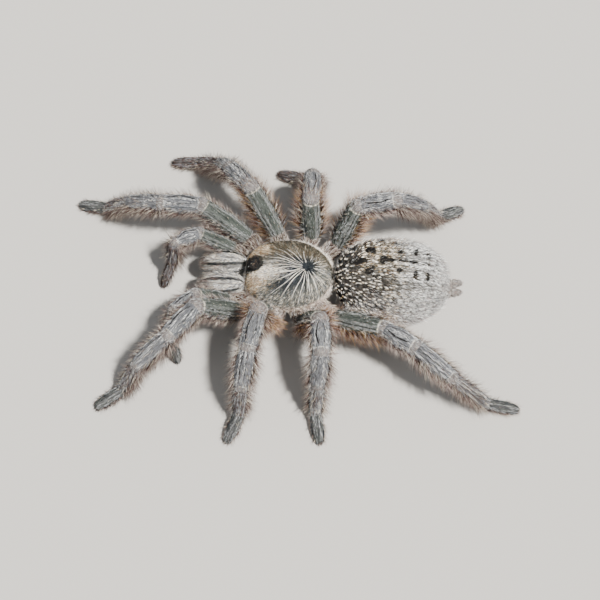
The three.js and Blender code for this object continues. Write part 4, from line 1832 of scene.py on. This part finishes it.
    def long_hair(self, pelt: Pelt, ground: Ground, article: str, axis: Axis) -> None:
        """Grows the long standing hair, thick on the flanks and thin on top."""
        coat = COATS[article]
        warm = 1.5 if self.tawny(article) else 1.0
        roots = ground.scatter(coat.seta_density * warm)
        thickness = 0.1 + 0.9 * smooth(roots.away, 0.12, 0.24)
        roots = roots.where(thickness > self.rng.random(len(roots)))
        away, count = roots.away, len(roots)
        tones = pick(self.rng, count, FIERY if self.tawny(article) else PINKS)
        lit = pick(self.rng, count, LIT)
        tones = np.where((away < self.lit_setae) & (self.rng.random(count) < 0.85), lit, tones)
        scale = 0.45 + (0.85 * warm - 0.3) * smooth(away, 0.1, 0.24)
        pelt.grow(roots, axis.way, Cut(coat.seta_length, 0.042, (28, 66), 15), tones, scale)


# ------------------------------------------------------------------ studio


@dataclass(frozen=True)
class Studio:
    """The floor, the lights and the camera."""

    subject: Vector
    aim: Colour = (2.9, -4.6, 6.0)  # what the camera looks at, from the subject
    distance: float = 380.0
    elevation: float = 63.0
    azimuth: float = 4.5
    lens: float = 94.85

    def build(self) -> None:
        """Makes all of it."""
        self.floor()
        self.lights()
        self.camera()

    def floor(self) -> None:
        """A plain pale floor, a little under the feet."""
        mesh = bpy.data.meshes.new("floor")
        bm = bmesh.new()
        bmesh.ops.create_grid(bm, x_segments=1, y_segments=1, size=3.0)
        bmesh.ops.translate(bm, verts=bm.verts, vec=(0, 0, -0.00002))
        bm.to_mesh(mesh)
        bm.free()
        paint = Paint("floor_paint", roughness=0.9)
        paint.shader.inputs["Base Color"].default_value = (0.47, 0.455, 0.43, 1)
        mesh.materials.append(paint.material)
        made = bpy.data.objects.new("floor", mesh)
        bpy.context.scene.collection.objects.link(made)
        made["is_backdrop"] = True

    def lights(self) -> None:
        """A high key light from behind the specimen, and soft light from all round."""
        key = bpy.data.lights.new("key", "SUN")
        key.energy = 9.6
        key.angle = math.radians(4)
        key.color = (1.0, 0.97, 0.92)
        made = bpy.data.objects.new("key", key)
        made.rotation_euler = Vector((0.40, -0.25, 0.88)).to_track_quat("Z", "Y").to_euler()
        bpy.context.scene.collection.objects.link(made)
        world = bpy.data.worlds.new("studio")
        world.use_nodes = True
        sky = world.node_tree.nodes["Background"]
        sky.inputs["Color"].default_value = (0.93, 0.96, 1.0, 1)
        sky.inputs["Strength"].default_value = 0.5
        bpy.context.scene.world = world

    def camera(self) -> None:
        """Looks down on the specimen from its left."""
        tilt, turn = math.radians(self.elevation), math.radians(self.azimuth)
        flat = math.cos(tilt)
        back = Vector((math.sin(turn) * flat, -math.cos(turn) * flat, math.sin(tilt)))
        lens = bpy.data.cameras.new("camera")
        lens.lens = self.lens
        lens.sensor_width = 36
        lens.clip_start = 0.01
        made = bpy.data.objects.new("camera", lens)
        made.location = (self.subject + Vector(self.aim) + back * self.distance) * MM
        made.rotation_euler = back.to_track_quat("Z", "Y").to_euler()
        bpy.context.scene.collection.objects.link(made)
        bpy.context.scene.camera = made


def main() -> None:
    """Builds the specimen from the body outwards, and reports each piece."""
    logging.basicConfig(level=logging.INFO, format="%(name)s: %(message)s")
    hair = HairFinish().material()
    horn = HORN.material()
    wardrobe = Wardrobe(hair, horn)
    limbs = [
        Limb(side, kind, wardrobe, specimen_rng(f"{side.word}_{kind}"))
        for side in Side
        for kind in ("leg_1", "leg_2", "leg_3", "leg_4", "palp")
    ]
    shield = Carapace(hair, specimen_rng("carapace"))
    shield.build()
    Abdomen(hair, specimen_rng("abdomen")).build()
    for side in Side:
        Jaw(side, hair, horn, specimen_rng(f"{side.word}_jaw")).build()
    Underside(hair, specimen_rng("underside")).build({limb.name: limb.hip for limb in limbs})
    Spinnerets(hair, specimen_rng("spinnerets")).build()
    for limb in limbs:
        limb.build()
    Studio(Vector((shield.box.centre.x, shield.box.centre.y, 0))).build()
    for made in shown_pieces():
        log.info("piece %s: %d faces", made.name, len(made.data.polygons))


if __name__ == "__main__":
    main()
